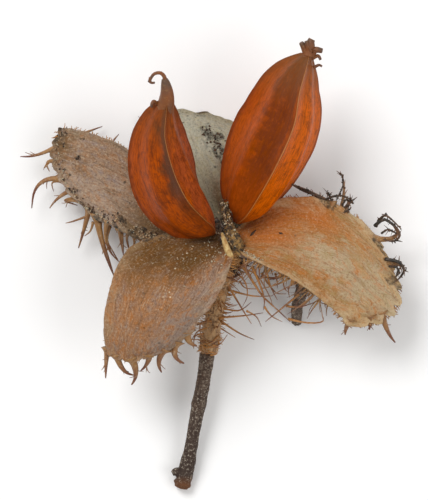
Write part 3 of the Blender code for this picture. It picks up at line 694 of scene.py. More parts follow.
def valve_finish(name, look):
    """Dry woody valve, its inside covered with short silky hairs that lie lengthwise.

    It gives a soft satin face with fine lengthwise streaks, brown patches and stains that near the
    nuts are partly painted shade, pale silk partly painted as sheen, a paler band of painted sheen,
    and black specks of mould, with black flakes that paint the shadow under the left nut. The map
    runs along the valve in x and across it in y, from 0 to 1.
    """
    colours = bpy.context.scene.husk_colours
    material, add = new_finish(
        name, 0.75, Sheen_Weight=0.08, Sheen_Roughness=0.4, Specular_IOR_Level=0.12,
    )
    place = add("TexCoord", give="UV")
    object_place = add("TexCoord", give="Object")
    # A valve is about 18 mm by 14 mm, so the map times these numbers is in millimetres
    flat = add("Mapping", {0: place, 3: (18.0, 14.0, 1.0)})
    drift = add("TexNoise", {0: flat, "Scale": 0.3, "Detail": 2.0}, give="Color")
    skin = add("VectorMath", {0: drift, 1: (1.8, 1.8, 0.0), 2: flat}, operation="MULTIPLY_ADD")
    along, across = add("SeparateXYZ", (place,)).node.outputs[:2]
    blotch = add("TexNoise", {0: skin, "Scale": 0.35, "Detail": 5.0, "Roughness": 0.65})
    # Fibres lie lengthwise, about 0.3 mm apart and 3 mm long
    stretched = add("Mapping", {0: skin, 3: (0.11, 1.0, 1.0)})
    fibre = add("TexNoise", {
        0: stretched, "Scale": 2.3, "Detail": 8.0, "Roughness": 0.72, "Distortion": 0.3,
    })
    hair = add("TexNoise", {
        0: stretched, "Scale": 7.5, "Detail": 4.0, "Roughness": 0.65, "Distortion": 0.5,
    })
    mottle = add("TexNoise", {
        0: skin, "Scale": 0.9, "Detail": 7.0, "Roughness": 0.74, "Distortion": 0.4,
    })
    grain = add("TexNoise", {0: object_place, "Scale": 4600.0, "Detail": 3.0, "Roughness": 0.8})
    shift = add("MapRange", (blotch, 0.3, 0.7, -0.25, 0.25))
    turned = add("Math", (along, shift), operation="ADD")
    ground = add("ValToRGB", (turned,))
    ramp = ground.node.color_ramp
    ramp.interpolation = "B_SPLINE"
    for stop, position, colour in zip(ramp.elements, (0.08, 0.95), (look["base"], look["tip"])):
        stop.position = position
        stop.color = opaque(colour)
    ramp.elements.new(look["turn"]).color = opaque(look["middle"])
    # Painted sheen: a paler band along the valve in its side colour, kept off the base
    centre, width, strength = look["band"]
    off = add("Math", (across, centre), operation="SUBTRACT")
    off = add("Math", (off,), operation="ABSOLUTE")
    off = add("Math", (off, shift), operation="ADD")
    band = add("MapRange", (off, width, width * 0.2, 0.0, strength), interpolation_type=SOFT)
    reach = add("MapRange", (turned, 0.1, 0.45, 0.0, 1.0))
    band = add("Math", (band, reach), operation="MULTIPLY")
    warm = add("MapRange", (mottle, 0.51, 0.64, 0.0, 0.75))
    cool = add("MapRange", (mottle, 0.48, 0.35, 0.0, 0.72))
    streaks, silk_and_sheen = look["streaks"], look["silk_and_sheen"]
    dark_fibre = add("MapRange", (fibre, 0.5, 0.34, 0.0, streaks), interpolation_type=SOFT)
    # Painted sheen: pale streaks of the silky hairs, partly their own pale colour
    pale_hair_sheen = add("MapRange", (hair, 0.48, 0.7, 0.0, silk_and_sheen), interpolation_type=SOFT)
    silk_sheen_patch = add("TexNoise", {0: skin, "Scale": 0.22, "Detail": 3.0})
    silk_sheen_patch = add("MapRange", (silk_sheen_patch, 0.4, 0.6, 0.3, 1.0))
    pale_hair_sheen = add("Math", (pale_hair_sheen, silk_sheen_patch), operation="MULTIPLY")
    powder = add("MapRange", (grain, 0.54, 0.72, 0.0, look["powder"]))
    pores = add("MapRange", (grain, 0.46, 0.3, 0.0, 0.75))
    # Grains of sand about 0.15 mm across where mould or dust lies
    sand = add("TexVoronoi", {0: object_place, "Scale": 1750.0})
    sand = add("MapRange", (sand, 0.2, 0.1, 0.0, 1.0))
    drifts = add("TexNoise", {0: object_place, "Scale": 620.0, "Detail": 2.0})
    drifts = add("MapRange", (drifts, 0.5, 0.66, 0.1, 1.0))
    mould = add("Attribute", give="Fac", attribute_name="mould")
    for amount in (drifts, mould):
        sand = add("Math", (sand, amount), operation="MULTIPLY")
    specks = add("TexVoronoi", {0: object_place, "Scale": 1300.0})
    specks = add("MapRange", (specks, 0.24, 0.12, 0.0, 1.0))
    patch = add("TexNoise", {0: object_place, "Scale": 430.0, "Detail": 2.0})
    patch = add("MapRange", (patch, look["specks"], look["specks"] + 0.05, 0.0, 0.75))
    specks = add("Math", (specks, patch), operation="MULTIPLY")
    # Brown stains; near the front valve's base they are partly painted shade under the nuts
    stain = add("Attribute", give="Fac", attribute_name="stain")
    stain = add("Math", (stain, shift), operation="ADD")
    stain = add("MapRange", (stain, 0.05, 0.95, 0.0, 0.95))
    clean = add("MapRange", (stain, 0.0, 0.8, 1.0, 0.25))
    warm, cool, pale_hair_sheen = (
        add("Math", (amount, clean), operation="MULTIPLY") for amount in (warm, cool, pale_hair_sheen)
    )
    rim = add("Attribute", give="Fac", attribute_name="rim")
    rim = add("Math", (rim, shift), operation="ADD")
    rim = add("MapRange", (rim, 0.82, 1.05, 0.0, look["rim"]))
    # Black flakes of mould; on the front valve's edge under the left nut they are painted shadow
    soot = add("Attribute", give="Fac", attribute_name="soot")
    flakes = add("TexNoise", {0: object_place, "Scale": 1500.0, "Detail": 6.0, "Roughness": 0.8})
    black = add("Math", (flakes, soot), operation="MULTIPLY")
    black = add("MapRange", (black, 0.4, 0.58, 0.0, 0.85))
    colour = coats(add, ground, (
        (look["side"], band), (look["stain"], stain), (look["warm"], warm), (look["cool"], cool),
        (look["dark"], dark_fibre), (colours.silk_and_sheen, pale_hair_sheen), (look["rim_colour"], rim),
        (colours.silk_and_sheen, powder), (look["dark"], pores), (colours.soot, specks),
        (colours.soot, black), (colours.sand, sand),
    ))
    relief = add("Math", (fibre, hair), operation="ADD")
    relief = add("Math", (relief, flakes), operation="ADD")
    return finish_off(material, colour, relief, 0.8, 0.09)


def felt_finish():
    """Woolly brown felt on the backs of the valves, between the spines: matt and mottled."""
    colours = bpy.context.scene.husk_colours
    material, add = new_finish("woolly_brown_felt", 0.95, Sheen_Weight=0.3, Sheen_Roughness=0.6)
    place = add("TexCoord", give="Object")
    wool = add("TexNoise", {
        0: place, "Scale": 3000.0, "Detail": 5.0, "Roughness": 0.7, "Distortion": 0.8,
    })
    patch = add("TexNoise", {0: place, "Scale": 420.0, "Detail": 3.0})
    hollow = add("MapRange", (wool, 0.56, 0.38, 0.0, 0.9))
    fluff = add("MapRange", (patch, 0.5, 0.75, 0.0, 0.45))
    colour = coats(add, colours.felt, ((colours.silk_and_sheen, fluff), (colours.felt_dark, hollow)))
    return finish_off(material, colour, wool, 0.8, 0.12)


def spine_finish(name, root, tip, pale):
    """Dry woody spine: satin, golden or brown at the root and darker at its tip."""
    material, add = new_finish(name, 0.55, Specular_IOR_Level=0.4)
    place = add("TexCoord", give="Object")
    share = add("Attribute", give="Fac", attribute_name="tip")
    patch = add("TexNoise", {0: place, "Scale": 700.0, "Detail": 3.0})
    streak = add("TexNoise", {0: place, "Scale": 4200.0, "Detail": 3.0})
    tone = add("MapRange", (patch, 0.36, 0.64, -0.5, 0.25))
    tone = add("Math", (share, tone), operation="ADD", use_clamp=True)
    glint = add("MapRange", (streak, 0.54, 0.76, 0.0, 0.45))
    colour = coats(add, root, ((tip, tone), (pale, glint)))
    return finish_off(material, colour, streak, 0.4, 0.03)


def bark_finish(name):
    """Thin dry bark of a twig: matt, with dark furrows along it and worn paler ridges."""
    colours = bpy.context.scene.husk_colours
    material, add = new_finish(name, 0.85, Specular_IOR_Level=0.3)
    place = add("TexCoord", give="Object")
    level = add("Attribute", give="Fac", attribute_name="level")
    furrow = add("MapRange", (level, 0.5, 0.12, 0.0, 0.85))
    worn = add("MapRange", (level, 0.6, 0.95, 0.0, 0.7))
    grit = add("TexNoise", {0: place, "Scale": 4400.0, "Detail": 3.0, "Roughness": 0.75})
    patch = add("TexNoise", {0: place, "Scale": 380.0, "Detail": 3.0})
    reddish = add("MapRange", (patch, 0.5, 0.7, 0.0, 0.6))
    grit_dark = add("MapRange", (grit, 0.49, 0.38, 0.0, 0.9))
    grit_pale = add("MapRange", (grit, 0.56, 0.65, 0.0, 0.8))
    toward = add("SeparateXYZ", (place,), give=1)
    low = add("MapRange", (toward, -11 * MM, -18 * MM, 0.0, 0.85))
    broken = add("MapRange", (toward, -21.2 * MM, -22.2 * MM, 0.0, 0.75))
    colour = coats(add, colours.bark, (
        (colour_from_hex("#6d4a35"), reddish), (colours.bark_pale, worn),
        (colours.bark_dark, low), (colours.bark_dark, furrow), (colours.bark_dark, grit_dark),
        (colour_from_hex("#b4a998"), grit_pale), (colour_from_hex("#6e4426"), broken),
    ))
    return finish_off(material, colour, grit, 0.6, 0.08)


def neck_finish():
    """Felted neck of the husk: tan wool with dark creases and golden threads."""
    colours = bpy.context.scene.husk_colours
    material, add = new_finish("felted_neck", 0.9, Sheen_Weight=0.25, Sheen_Roughness=0.5)
    place = add("TexCoord", give="Object")
    level = add("Attribute", give="Fac", attribute_name="level")
    wool = add("TexNoise", {0: place, "Scale": 3600.0, "Detail": 4.0, "Roughness": 0.7})
    crease = add("MapRange", (level, 0.45, 0.1, 0.0, 0.6))
    worn = add("MapRange", (wool, 0.55, 0.75, 0.0, 0.6))
    hollow = add("MapRange", (wool, 0.46, 0.3, 0.0, 0.7))
    lengthwise = add("Mapping", {0: place, 3: (1.0, 0.2, 1.0)})
    fibre = add("TexNoise", {
        0: lengthwise, "Scale": 3600.0, "Detail": 4.0, "Roughness": 0.75, "Distortion": 0.4,
    })
    groove = add("MapRange", (fibre, 0.5, 0.4, 0.0, 0.85))
    thread = add("MapRange", (fibre, 0.55, 0.65, 0.0, 0.5))
    colour = coats(add, colours.neck, (
        (colours.silk_and_sheen, worn), (colours.neck_dark, crease), (colours.neck_dark, groove),
        (colours.neck_dark, hollow), (colours.bristle, thread),
    ))
    return finish_off(material, colour, wool, 0.7, 0.08)


def shell_finish(name, left, right, margin, band, look):
    """Polished woody shell of a beech nut: glossy, finely lined lengthwise, darker in bands.

    The map counts the faces in x, from 0 to 3, and runs from foot to tip in y.
    """
    colours = bpy.context.scene.husk_colours
    material, add = new_finish(
        name, 0.34, Coat_Weight=0.015, Coat_Roughness=0.2, Specular_IOR_Level=0.05,
    )
    place = add("TexCoord", give="UV")
    around, along = add("SeparateXYZ", (place,)).node.outputs[:2]
    share = add("Math", (around,), operation="FRACT")
    # A face is about 7 mm wide and the shell 18 mm long
    skin = add("Mapping", {0: place, 3: (7.0, 18.0, 1.0)})
    lines = add("Mapping", {0: skin, 3: (1.0, 0.09, 1.0)})
    line = add("TexNoise", {
        0: lines, "Scale": 3.4, "Detail": 6.0, "Roughness": 0.65, "Distortion": 0.2,
    })
    fine = add("TexNoise", {
        0: lines, "Scale": 9.0, "Detail": 3.0, "Roughness": 0.6, "Distortion": 0.3,
    })
    blotch = add("TexNoise", {0: skin, "Scale": 0.42, "Detail": 5.0, "Roughness": 0.62})
    wander = add("MapRange", (blotch, 0.3, 0.7, -0.16, 0.16))
    moved = add("Math", (share, wander), operation="ADD")
    offset = add("Math", (moved, look["band_at"]), operation="SUBTRACT")
    offset = add("Math", (offset,), operation="ABSOLUTE")
    wide, narrow = look["band_width"], look["band_width"] * 0.35
    in_band = add("MapRange", (offset, wide, narrow, 0.0, 1.0), interpolation_type=SOFT)
    on_left = add("Math", (around, 1.0), operation="LESS_THAN")
    on_right = add("Math", (around, 2.0), operation="GREATER_THAN")
    fade = add("MapRange", (along, look["band_from"], look["band_from"] + 0.3, 0.15, 1.0))
    for amount in (on_left, fade, look["band"]):
        in_band = add("Math", (in_band, amount), operation="MULTIPLY")
    near_left = add("MapRange", (moved, 0.75, 0.98, 0.0, 0.8))
    near_left = add("Math", (near_left, on_left), operation="MULTIPLY")
    brown_line = add("MapRange", (line, 0.47, 0.36, 0.0, 0.62), interpolation_type=SOFT)
    fine_line = add("MapRange", (fine, 0.5, 0.36, 0.0, 0.6))
    # Short scratches about 0.2 mm wide and 0.7 mm long
    scratches = add("Mapping", {0: skin, 3: (1.0, 0.3, 1.0)})
    scratch = add("TexNoise", {
        0: scratches, "Scale": 5.0, "Detail": 5.0, "Roughness": 0.8, "Distortion": 0.3,
    })
    scratch_dark = add("MapRange", (scratch, 0.48, 0.36, 0.0, 0.66))
    scratch_pale = add("MapRange", (scratch, 0.52, 0.68, 0.0, 0.2))
    cloud = add("TexNoise", {
        0: skin, "Scale": 1.1, "Detail": 7.0, "Roughness": 0.78, "Distortion": 0.5,
    })
    cloud = add("MapRange", (cloud, 0.49, 0.37, 0.0, 0.72))
    glow = add("MapRange", (blotch, 0.48, 0.64, 0.0, 0.85))
    glow = add("Math", (glow, on_right), operation="MULTIPLY")
    spots = add("TexVoronoi", {0: skin, "Scale": 0.85})
    spots = add("MapRange", (spots, 0.16, 0.06, 0.0, look["spots"]))
    top = add("MapRange", (along, 0.7, 0.97, 0.0, 0.85))
    foot = add("MapRange", (along, 0.18, 0.02, 0.0, 0.5))
    ridge = add("Attribute", give="Fac", attribute_name="ridge")
    # The first ridge, at 0 and 3 on the map, faces the camera and has a painted highlight along it
    turned = add("Math", (around, 1.5), operation="SUBTRACT")
    turned = add("Math", (turned,), operation="ABSOLUTE")
    on_top = add("Math", (turned, 1.3), operation="GREATER_THAN")
    keel = add("MapRange", (ridge, 0.93, 0.985, 0.0, 0.9))
    keel = add("Math", (keel, on_top), operation="MULTIPLY")
    beside = add("MapRange", (ridge, 0.78, 0.95, 0.0, 0.6))
    dark = [c * 0.3 for c in right]
    colour = coats(add, left, (
        (right, on_right), (margin, near_left), (colours.shell_amber, glow), (dark, cloud),
        (band, in_band), (dark, brown_line), (dark, fine_line), (colours.shell_dark, beside),
        (colours.shell_dark, spots), (look["top"], top), (colours.shell_dark, foot),
        (colours.shell_ridge_highlight, keel), (dark, scratch_dark), (colours.shell_amber, scratch_pale),
    ))
    relief = add("Math", (line, fine), operation="ADD")
    return finish_off(material, colour, relief, 0.45, 0.05)


def crumb_finish(name, pale, dark):
    """Crumbs of mould, sand and withered felt: matt, each with its own tone."""
    material, add = new_finish(name, 0.9)
    place = add("TexCoord", give="Object")
    tone = add("TexNoise", {0: place, "Scale": 2200.0, "Detail": 4.0, "Roughness": 0.7})
    share = add("MapRange", (tone, 0.42, 0.62, 0.0, 1.0))
    colour = coats(add, pale, ((dark, share),))
    return finish_off(material, colour, tone, 0.6, 0.05)


# Valves

# How ragged each valve's tip is and what lies on its inside: notches as (across, width, depth),
# then spots of soot, mould and stain as (along, across, radius). On the front valve the soot
# spots along its right edge paint the shadow under the left nut, and its stain spots near the
# base are partly painted shade
VALVE_FORMS = {
    "valve_front": {
        "notches": ((-0.75, 0.1, 0.05), (-0.45, 0.09, 0.06), (-0.2, 0.08, 0.05),
                    (0.08, 0.1, 0.06), (0.36, 0.09, 0.05), (0.64, 0.1, 0.06), (0.86, 0.07, 0.04)),
        # Painted shadow: black spots along the right edge, under the left nut
        "soot": ((0.05, -0.95, 0.05), (0.13, -1.0, 0.05), (0.22, -1.02, 0.045),
                 (0.31, -1.02, 0.04), (0.03, -0.5, 0.05)),
        "mould": ((0.16, 0.0, 0.16), (0.3, -0.35, 0.16), (0.24, 0.45, 0.12), (0.4, 0.1, 0.1)),
        # Partly painted shade: dark stain spots near the base, under the nuts
        "stain": ((0.08, -0.5, 0.22), (0.3, -0.75, 0.2), (0.2, -0.1, 0.18), (0.05, 0.3, 0.14)),
    },
    "valve_right": {
        "notches": ((-0.7, 0.1, 0.06), (-0.4, 0.14, 0.08), (-0.1, 0.1, 0.07), (0.2, 0.12, 0.09),
                    (0.5, 0.1, 0.1), (0.78, 0.1, 0.1)),
        "soot": ((0.05, -0.4, 0.05), (0.97, 0.8, 0.1), (0.95, 0.3, 0.08), (0.6, 1.0, 0.08)),
        "mould": ((0.06, -0.8, 0.08), (0.14, -0.98, 0.07)),
        "stain": ((0.05, 0.4, 0.2), (0.2, 0.7, 0.2), (0.18, 0.1, 0.14), (0.45, 0.75, 0.14)),
    },
    "valve_left": {
        "notches": ((-0.8, 0.12, 0.06), (-0.5, 0.1, 0.05), (-0.2, 0.1, 0.06), (0.15, 0.1, 0.05),
                    (0.45, 0.12, 0.07), (0.75, 0.1, 0.06)),
        "soot": ((0.98, -0.85, 0.14), (0.8, 0.98, 0.09), (0.6, 1.0, 0.07), (0.45, 1.0, 0.07),
                 (0.72, -0.3, 0.035), (0.5, 0.72, 0.05), (0.36, 0.8, 0.05), (0.9, 0.5, 0.05)),
        "mould": ((0.3, 0.9, 0.05),),
        "stain": ((0.25, 0.6, 0.2), (0.45, 0.9, 0.1), (0.9, -0.6, 0.08)),
    },
    "valve_back": {
        "notches": ((-0.86, 0.1, 0.1), (-0.6, 0.13, 0.08), (-0.3, 0.1, 0.03), (-0.05, 0.12, 0.04),
                    (0.25, 0.1, 0.03), (0.52, 0.12, 0.07), (0.82, 0.12, 0.11)),
        "soot": ((0.57, -0.26, 0.1), (0.64, -0.14, 0.08), (0.5, -0.36, 0.09), (0.44, -0.3, 0.07),
                 (0.6, -0.42, 0.07), (0.36, -0.4, 0.05)),
        "mould": ((0.12, 0.0, 0.08),),
        "stain": ((0.12, 0.0, 0.14), (0.3, -0.4, 0.08)),
    },
}


# The patches on each valve's inside, then where its middle colour lies, its band of painted sheen
# in the paler side colour as (across, width, share), and how much shows of what its parts name
VALVE_LOOKS = {
    "valve_front": (
        {"stain": "#5f4016", "warm": "#b06c2c", "cool": "#87736a", "dark": "#5a3a20",
         "rim_colour": "#a78f6e"},
        {"turn": 0.42, "band": (0.98, 0.5, 0.75), "streaks": 0.5, "silk_and_sheen": 0.4, "specks": 0.6,
         "rim": 0.4, "powder": 0.45},
    ),
    "valve_right": (
        {"stain": "#b4692c", "warm": "#b86e28", "cool": "#9c8450", "dark": "#7d4a22",
         "rim_colour": "#c9b692"},
        {"turn": 0.6, "band": (0.4, 0.3, 0.85), "streaks": 0.45, "silk_and_sheen": 0.58, "specks": 0.66,
         "rim": 0.5, "powder": 0.4},
    ),
    "valve_left": (
        {"stain": "#6d5232", "warm": "#a06c42", "cool": "#8d7f7e", "dark": "#4f3b2c",
         "rim_colour": "#8f806a"},
        {"turn": 0.5, "band": (0.75, 0.35, 0.6), "streaks": 0.5, "silk_and_sheen": 0.5, "specks": 0.56,
         "rim": 0.5, "powder": 0.6},
    ),
    "valve_back": (
        {"stain": "#7c6244", "warm": "#a49a76", "cool": "#85867c", "dark": "#5f594a",
         "rim_colour": "#a59c80"},
        {"turn": 0.5, "band": (0.5, 0.5, 0.4), "streaks": 0.35, "silk_and_sheen": 0.5, "specks": 0.54,
         "rim": 0.5, "powder": 0.6},
    ),
}


def spot_share(spots, along, across, full=0.5, end=1.3):
    """How much of the nearest spots covers a place on a valve, full and gone at these radii."""
    return max(
        (1 - ease(full, end, math.hypot(along - a, (across - c) * 0.4) / radius)
         for a, c, radius in spots), default=0.0,
    )


def valve_height(name, along, across, sizes):
    """Height of the relief above the smooth inside of a valve, in millimetres."""
    seed = VALVE_SEEDS[name]
    lengthwise = (along * 18.0, across * 7.0, 0.0)
    folds = rough((along * 6.0, across * 7.0, 0.0), 2.6, seed) * 0.6
    folds += rough((along * 9.0, across * 7.0, 1.0), 1.2, seed + 1) * 0.4
    fibres = rough((along * 3.0, across * 7.0, 2.0), 0.34, seed + 2)
    fibres += rough((along * 5.0, across * 7.0, 3.0), 0.6, seed + 3)
    pits = rough(lengthwise, 0.7, seed + 4)
    off_middle = (across - 0.04 * math.sin(along * 9)) / 0.05
    groove = -0.25 * math.exp(-off_middle**2) * ease(0, 0.3, along)
    return (folds + groove) * sizes.wrinkle / MM + (fibres + pits * 0.4) * sizes.fibre / MM


def make_valve(name, finishes):
    """A valve as one closed curved plate, thin at its edges, with relief on its inside."""
    sizes = bpy.context.scene.husk_sizes
    edges, form, seed = VALVES[name], VALVE_FORMS[name], VALVE_SEEDS[name]
    bm = bmesh.new()
    bmesh.ops.create_grid(bm, x_segments=VALVE_GRID[0], y_segments=VALVE_GRID[1], size=0.5)
    layers = {key: bm.verts.layers.float.new(key) for key in ("rim", "soot", "mould", "stain")}
    uv = bm.loops.layers.uv.new("UVMap")
    wall = bm.verts.layers.deform.verify()
    spots = {}
    for vertex in bm.verts:
        along, across = (vertex.co.x + 0.5) * (1 + BASE_REACH) - BASE_REACH, vertex.co.y * 2
        spots[vertex] = (along, across / 2 + 0.5)
        reach = 1.0
        for place, width, depth in form["notches"]:
            reach -= depth * max(0.0, 1 - abs(across - place) / width) * ease(0.5, 1, along)
        ragged = rough((across * 7, along * 3, 0.0), 0.5, seed + 9) * 0.012
        reach += ragged * ease(0.6, 1, along)
        wavy = 1 + 0.02 * rough((along * 18, 0.0, math.copysign(5, across)), 1.1, seed + 6)
        wavy += 0.012 * rough((along * 18, 0.0, math.copysign(9, across)), 0.4, seed + 7)
        side = across * (1 + (wavy - 1) * abs(across) ** 3)
        point = valve_point(edges, along * reach, side)
        outward = valve_outward(edges, min(max(along, 0.03), 0.97), across)
        edge = max(abs(across), 2 * abs(along - 0.5) if along > 0.5 else 0.0)
        height = valve_height(name, along, across, sizes) * (1 - 0.6 * ease(0.85, 1, edge))
        curl = 0.28 * ease(0.86, 1.0, edge) * (0.6 + rough((along * 9, across * 4, 0), 1.0, seed))
        vertex.co = point - outward * (height + curl)
        vertex.co.z = max(vertex.co.z, LOWEST_BLADE)
        vertex[layers["rim"]] = edge
        vertex[layers["soot"]] = spot_share(form["soot"], along, across)
        vertex[layers["mould"]] = spot_share(form["mould"], along, across)
        vertex[layers["stain"]] = spot_share(form["stain"], along, across, 0.1, 1.9)
        vertex[wall][0] = 1 - VALVE_THINNING * ease(0.8, 1.0, edge)
    for face in bm.faces:
        for loop in face.loops:
            loop[uv].uv = spots[loop.vert]
    valve = to_object(name + "_blade", bm)
    valve.vertex_groups.new(name="wall")
    shell = valve.modifiers.new("wall", "SOLIDIFY")
    shell.thickness = sizes.wall
    shell.offset = -1.0
    shell.vertex_group = "wall"
    shell.material_offset = 1
    shell.material_offset_rim = 0
    for finish in finishes:
        valve.data.materials.append(finish)
    settle(valve)
    for vertex in valve.data.vertices:
        vertex.co.z = max(vertex.co.z, 0.0)
    dress(valve, VALVE_SLOTS[name], node=name)


class BEECH_OT_valves(bpy.types.Operator):
    """Makes the four valves of the husk, without their spines"""

    bl_idname = "beech.valves"
    bl_label = "Valves"

    def execute(self, context):
        felt = felt_finish()
        for name, (colours, amounts) in VALVE_LOOKS.items():
            look = {part: colour_from_hex(code) for part, code in colours.items()} | amounts
            for part in VALVE_PARTS:
                setting = name.removeprefix("valve_") + "_" + part
                look[part] = getattr(context.scene.husk_colours, setting)
            make_valve(name, (valve_finish("silky_" + name, look), felt))
        return {"FINISHED"}


# Spines


def obstacle_trees():
    """Search trees of the smooth valves and the nuts, in millimetres, for keeping spines clear."""
    trees = {}
    for name, edges in VALVES.items():
        bm = bmesh.new()
        bmesh.ops.create_grid(bm, x_segments=OBSTACLE_GRID[0], y_segments=OBSTACLE_GRID[1], size=0.5)
        for vertex in bm.verts:
            vertex.co = valve_point(edges, vertex.co.x + 0.5, vertex.co.y * 2)
        trees[name] = BVHTree.FromBMesh(bm)
        bm.free()
    for name in NUTS:
        bm = bmesh.new()
        bm.from_mesh(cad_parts[name].data)
        bmesh.ops.scale(bm, vec=(1 / MM,) * 3, verts=bm.verts[:])
        trees[name] = BVHTree.FromBMesh(bm)
        bm.free()
    return trees


def keeps_clear(points, owner, trees, gap):
    """Whether a spine stays away from every other valve and from the nuts."""
    for point in points:
        for name, tree in trees.items():
            if name != owner and tree.find_nearest(point, gap)[0] is not None:
                return False
    return True


def back_spine(root, outward, ahead, draw, longest, radius):
    """A bent spine on the back of a valve, leaning to the tip. It spreads on the surface."""
    sideways = ahead.cross(outward)
    length = longest * draw.uniform(0.55, 1.0)
    swing = draw.uniform(-0.7, 0.7)
    start = (outward + ahead * draw.uniform(0.0, 0.5) + sideways * swing).normalized()
    end = outward * 0.5 - ahead * draw.uniform(-0.3, 0.9) + sideways * draw.uniform(-0.8, 0.8)
    bend = root + start * length * 0.55
    line = bend_line(root, bend, bend + end.normalized() * length * 0.5, 5)
    for point in line:
        point.z = max(point.z, 0.12 + radius)
    return line


def valve_spines(name, trees):
    """Points and radii of all spines of a valve: hooked teeth, back spines and edge fuzz."""
    sizes = bpy.context.scene.husk_sizes
    draw = random.Random(VALVE_SEEDS[name] + 100)
    edges = VALVES[name]
    radius = sizes.spine_radius / MM
    longest = sizes.spine_length / MM
    lines = []
    for root, bend, tip, hook_radius in HOOKS[name]:
        near, inward, _, _ = trees[name].find_nearest(Vector(root))
        start = near - inward * 0.42 + (near - Vector(bend)).normalized() * 0.5
        points = bend_line(start, bend, tip, 5)
        for point in points:
            point.z = max(point.z, LOWEST_HOOK)
        lines.append(tapered(points, hook_radius * sizes.hook_share, 14, 0.16, 1.1))
        for _ in range(BARBS):
            start = smooth_line(points, draw.uniform(0.25, 0.6))
            swing = Vector((draw.uniform(-1, 1), draw.uniform(-1, 1), draw.uniform(-0.6, 0.2)))
            way = (Vector(tip) - Vector(root)).normalized()
            mid = start + (way + swing * 0.5).normalized() * draw.uniform(0.3, 0.7)
            end = mid + (way + swing * 1.1).normalized() * draw.uniform(0.3, 0.7)
            lines.append(tapered((start, mid, end), 0.07, 5, 0.3))
    side, low, high, count, length = FRINGES[name]
    for _ in range(count):
        along, across = draw.uniform(low, high), side * draw.uniform(0.82, 0.99)
        here, outward, ahead, sideways = edge_frame(edges, along, across, furthest=1.0)
        root = here + outward * 0.4 - sideways * 0.2
        way = sideways + outward * draw.uniform(0.1, 0.9) + ahead * draw.uniform(-0.5, 0.7)
        turn = ahead * draw.uniform(-2.2, 2.2) + outward * draw.uniform(-0.6, 1.2)
        reach = length * draw.uniform(0.35, 1.0)
        bend = root + way.normalized() * reach * 0.55
        tip = bend + (way.normalized() + turn * 0.8).normalized() * reach * 0.5
        line = bend_line(root, bend, tip, 6)
        if keeps_clear(line[1:], name, trees, 0.2) and min(point.z for point in line) > 0.2:
            lines.append(tapered(line, draw.uniform(0.05, 0.17), 9))
    placed = 0
    for _ in range(sizes.spines * 6):
        if placed == sizes.spines:
            break
        along, across = draw.uniform(0.1, 1.0), draw.uniform(-0.98, 0.98)
        here, outward, ahead, _ = edge_frame(edges, along, across)
        root = here + outward * 0.4
        line = back_spine(root, outward, ahead, draw, longest, radius)
        if keeps_clear(line[1:], name, trees, 0.4):
            lines.append(tapered(line, radius * draw.uniform(0.6, 1.0), 7))
            placed += 1
    return lines


def edge_fuzz(name, trees):
    """Fine hairs on the edges and the tip of a valve."""
    sizes = bpy.context.scene.husk_sizes
    draw = random.Random(VALVE_SEEDS[name] + 200)
    edges = VALVES[name]
    lines = []
    for k in range(sizes.fuzz + EXTRA_WOOL.get(name, 0)):
        woolly = k >= sizes.fuzz
        if woolly:
            along, across = draw.uniform(0.08, 0.85), 0.99
        elif draw.random() < 0.4:
            along, across = draw.uniform(0.94, 0.99), draw.uniform(-0.98, 0.98)
        else:
            along, across = draw.uniform(0.12, 0.99), draw.choice((-0.99, 0.99))
        here, outward, ahead, sideways = edge_frame(edges, along, across)
        off = ahead if along > 0.93 else sideways
        way = off + ahead * draw.uniform(0.0, 0.8) + outward * draw.uniform(-0.1, 0.9)
        way += sideways * draw.uniform(-0.4, 0.4)
        length = sizes.fuzz_length / MM * draw.uniform(0.35, 1.0) * (1.7 if woolly else 1)
        root = here + outward * draw.uniform(0.05, 0.3) - off * 0.15
        droop = Vector((draw.uniform(-1, 1), draw.uniform(-1, 1), draw.uniform(-1, 0.3)))
        mid = root + way.normalized() * length * 0.6
        tip = mid + (way.normalized() + droop * 0.6).normalized() * length * 0.5
        if tip.z > 0.1 and keeps_clear((mid, tip), name, trees, 0.1):
            lines.append(tapered((root, mid, tip), 0.05, 4, 0.5))
    return lines


class BEECH_OT_spines(bpy.types.Operator):
    """Grows the spines and the fine hairs of the valves"""

    bl_idname = "beech.spines"
    bl_label = "Spines"

    def execute(self, context):
        c = context.scene.husk_colours
        woody = spine_finish("woody_spine", c.spine_root, c.spine_tip, c.silk_and_sheen)
        dry_hair = spine_finish("dry_hair", c.bristle, c.spine_root, c.silk_and_sheen)
        trees = obstacle_trees()
        for name in VALVES:
            lines = valve_spines(name, trees)
            extra = {"valve_left": LEFT_BRISTLES}.get(name, ())
            lines += [tapered(points, radius, 10) for radius, *points in extra]
            for label, made, sides, finish in (
                ("_spines", lines, 6, woody), ("_fuzz", edge_fuzz(name, trees), 4, dry_hair),
            ):
                dress(strands(name + label, made, sides), VALVE_SLOTS[name], finish)
        return {"FINISHED"}


# Stalk, spur and base


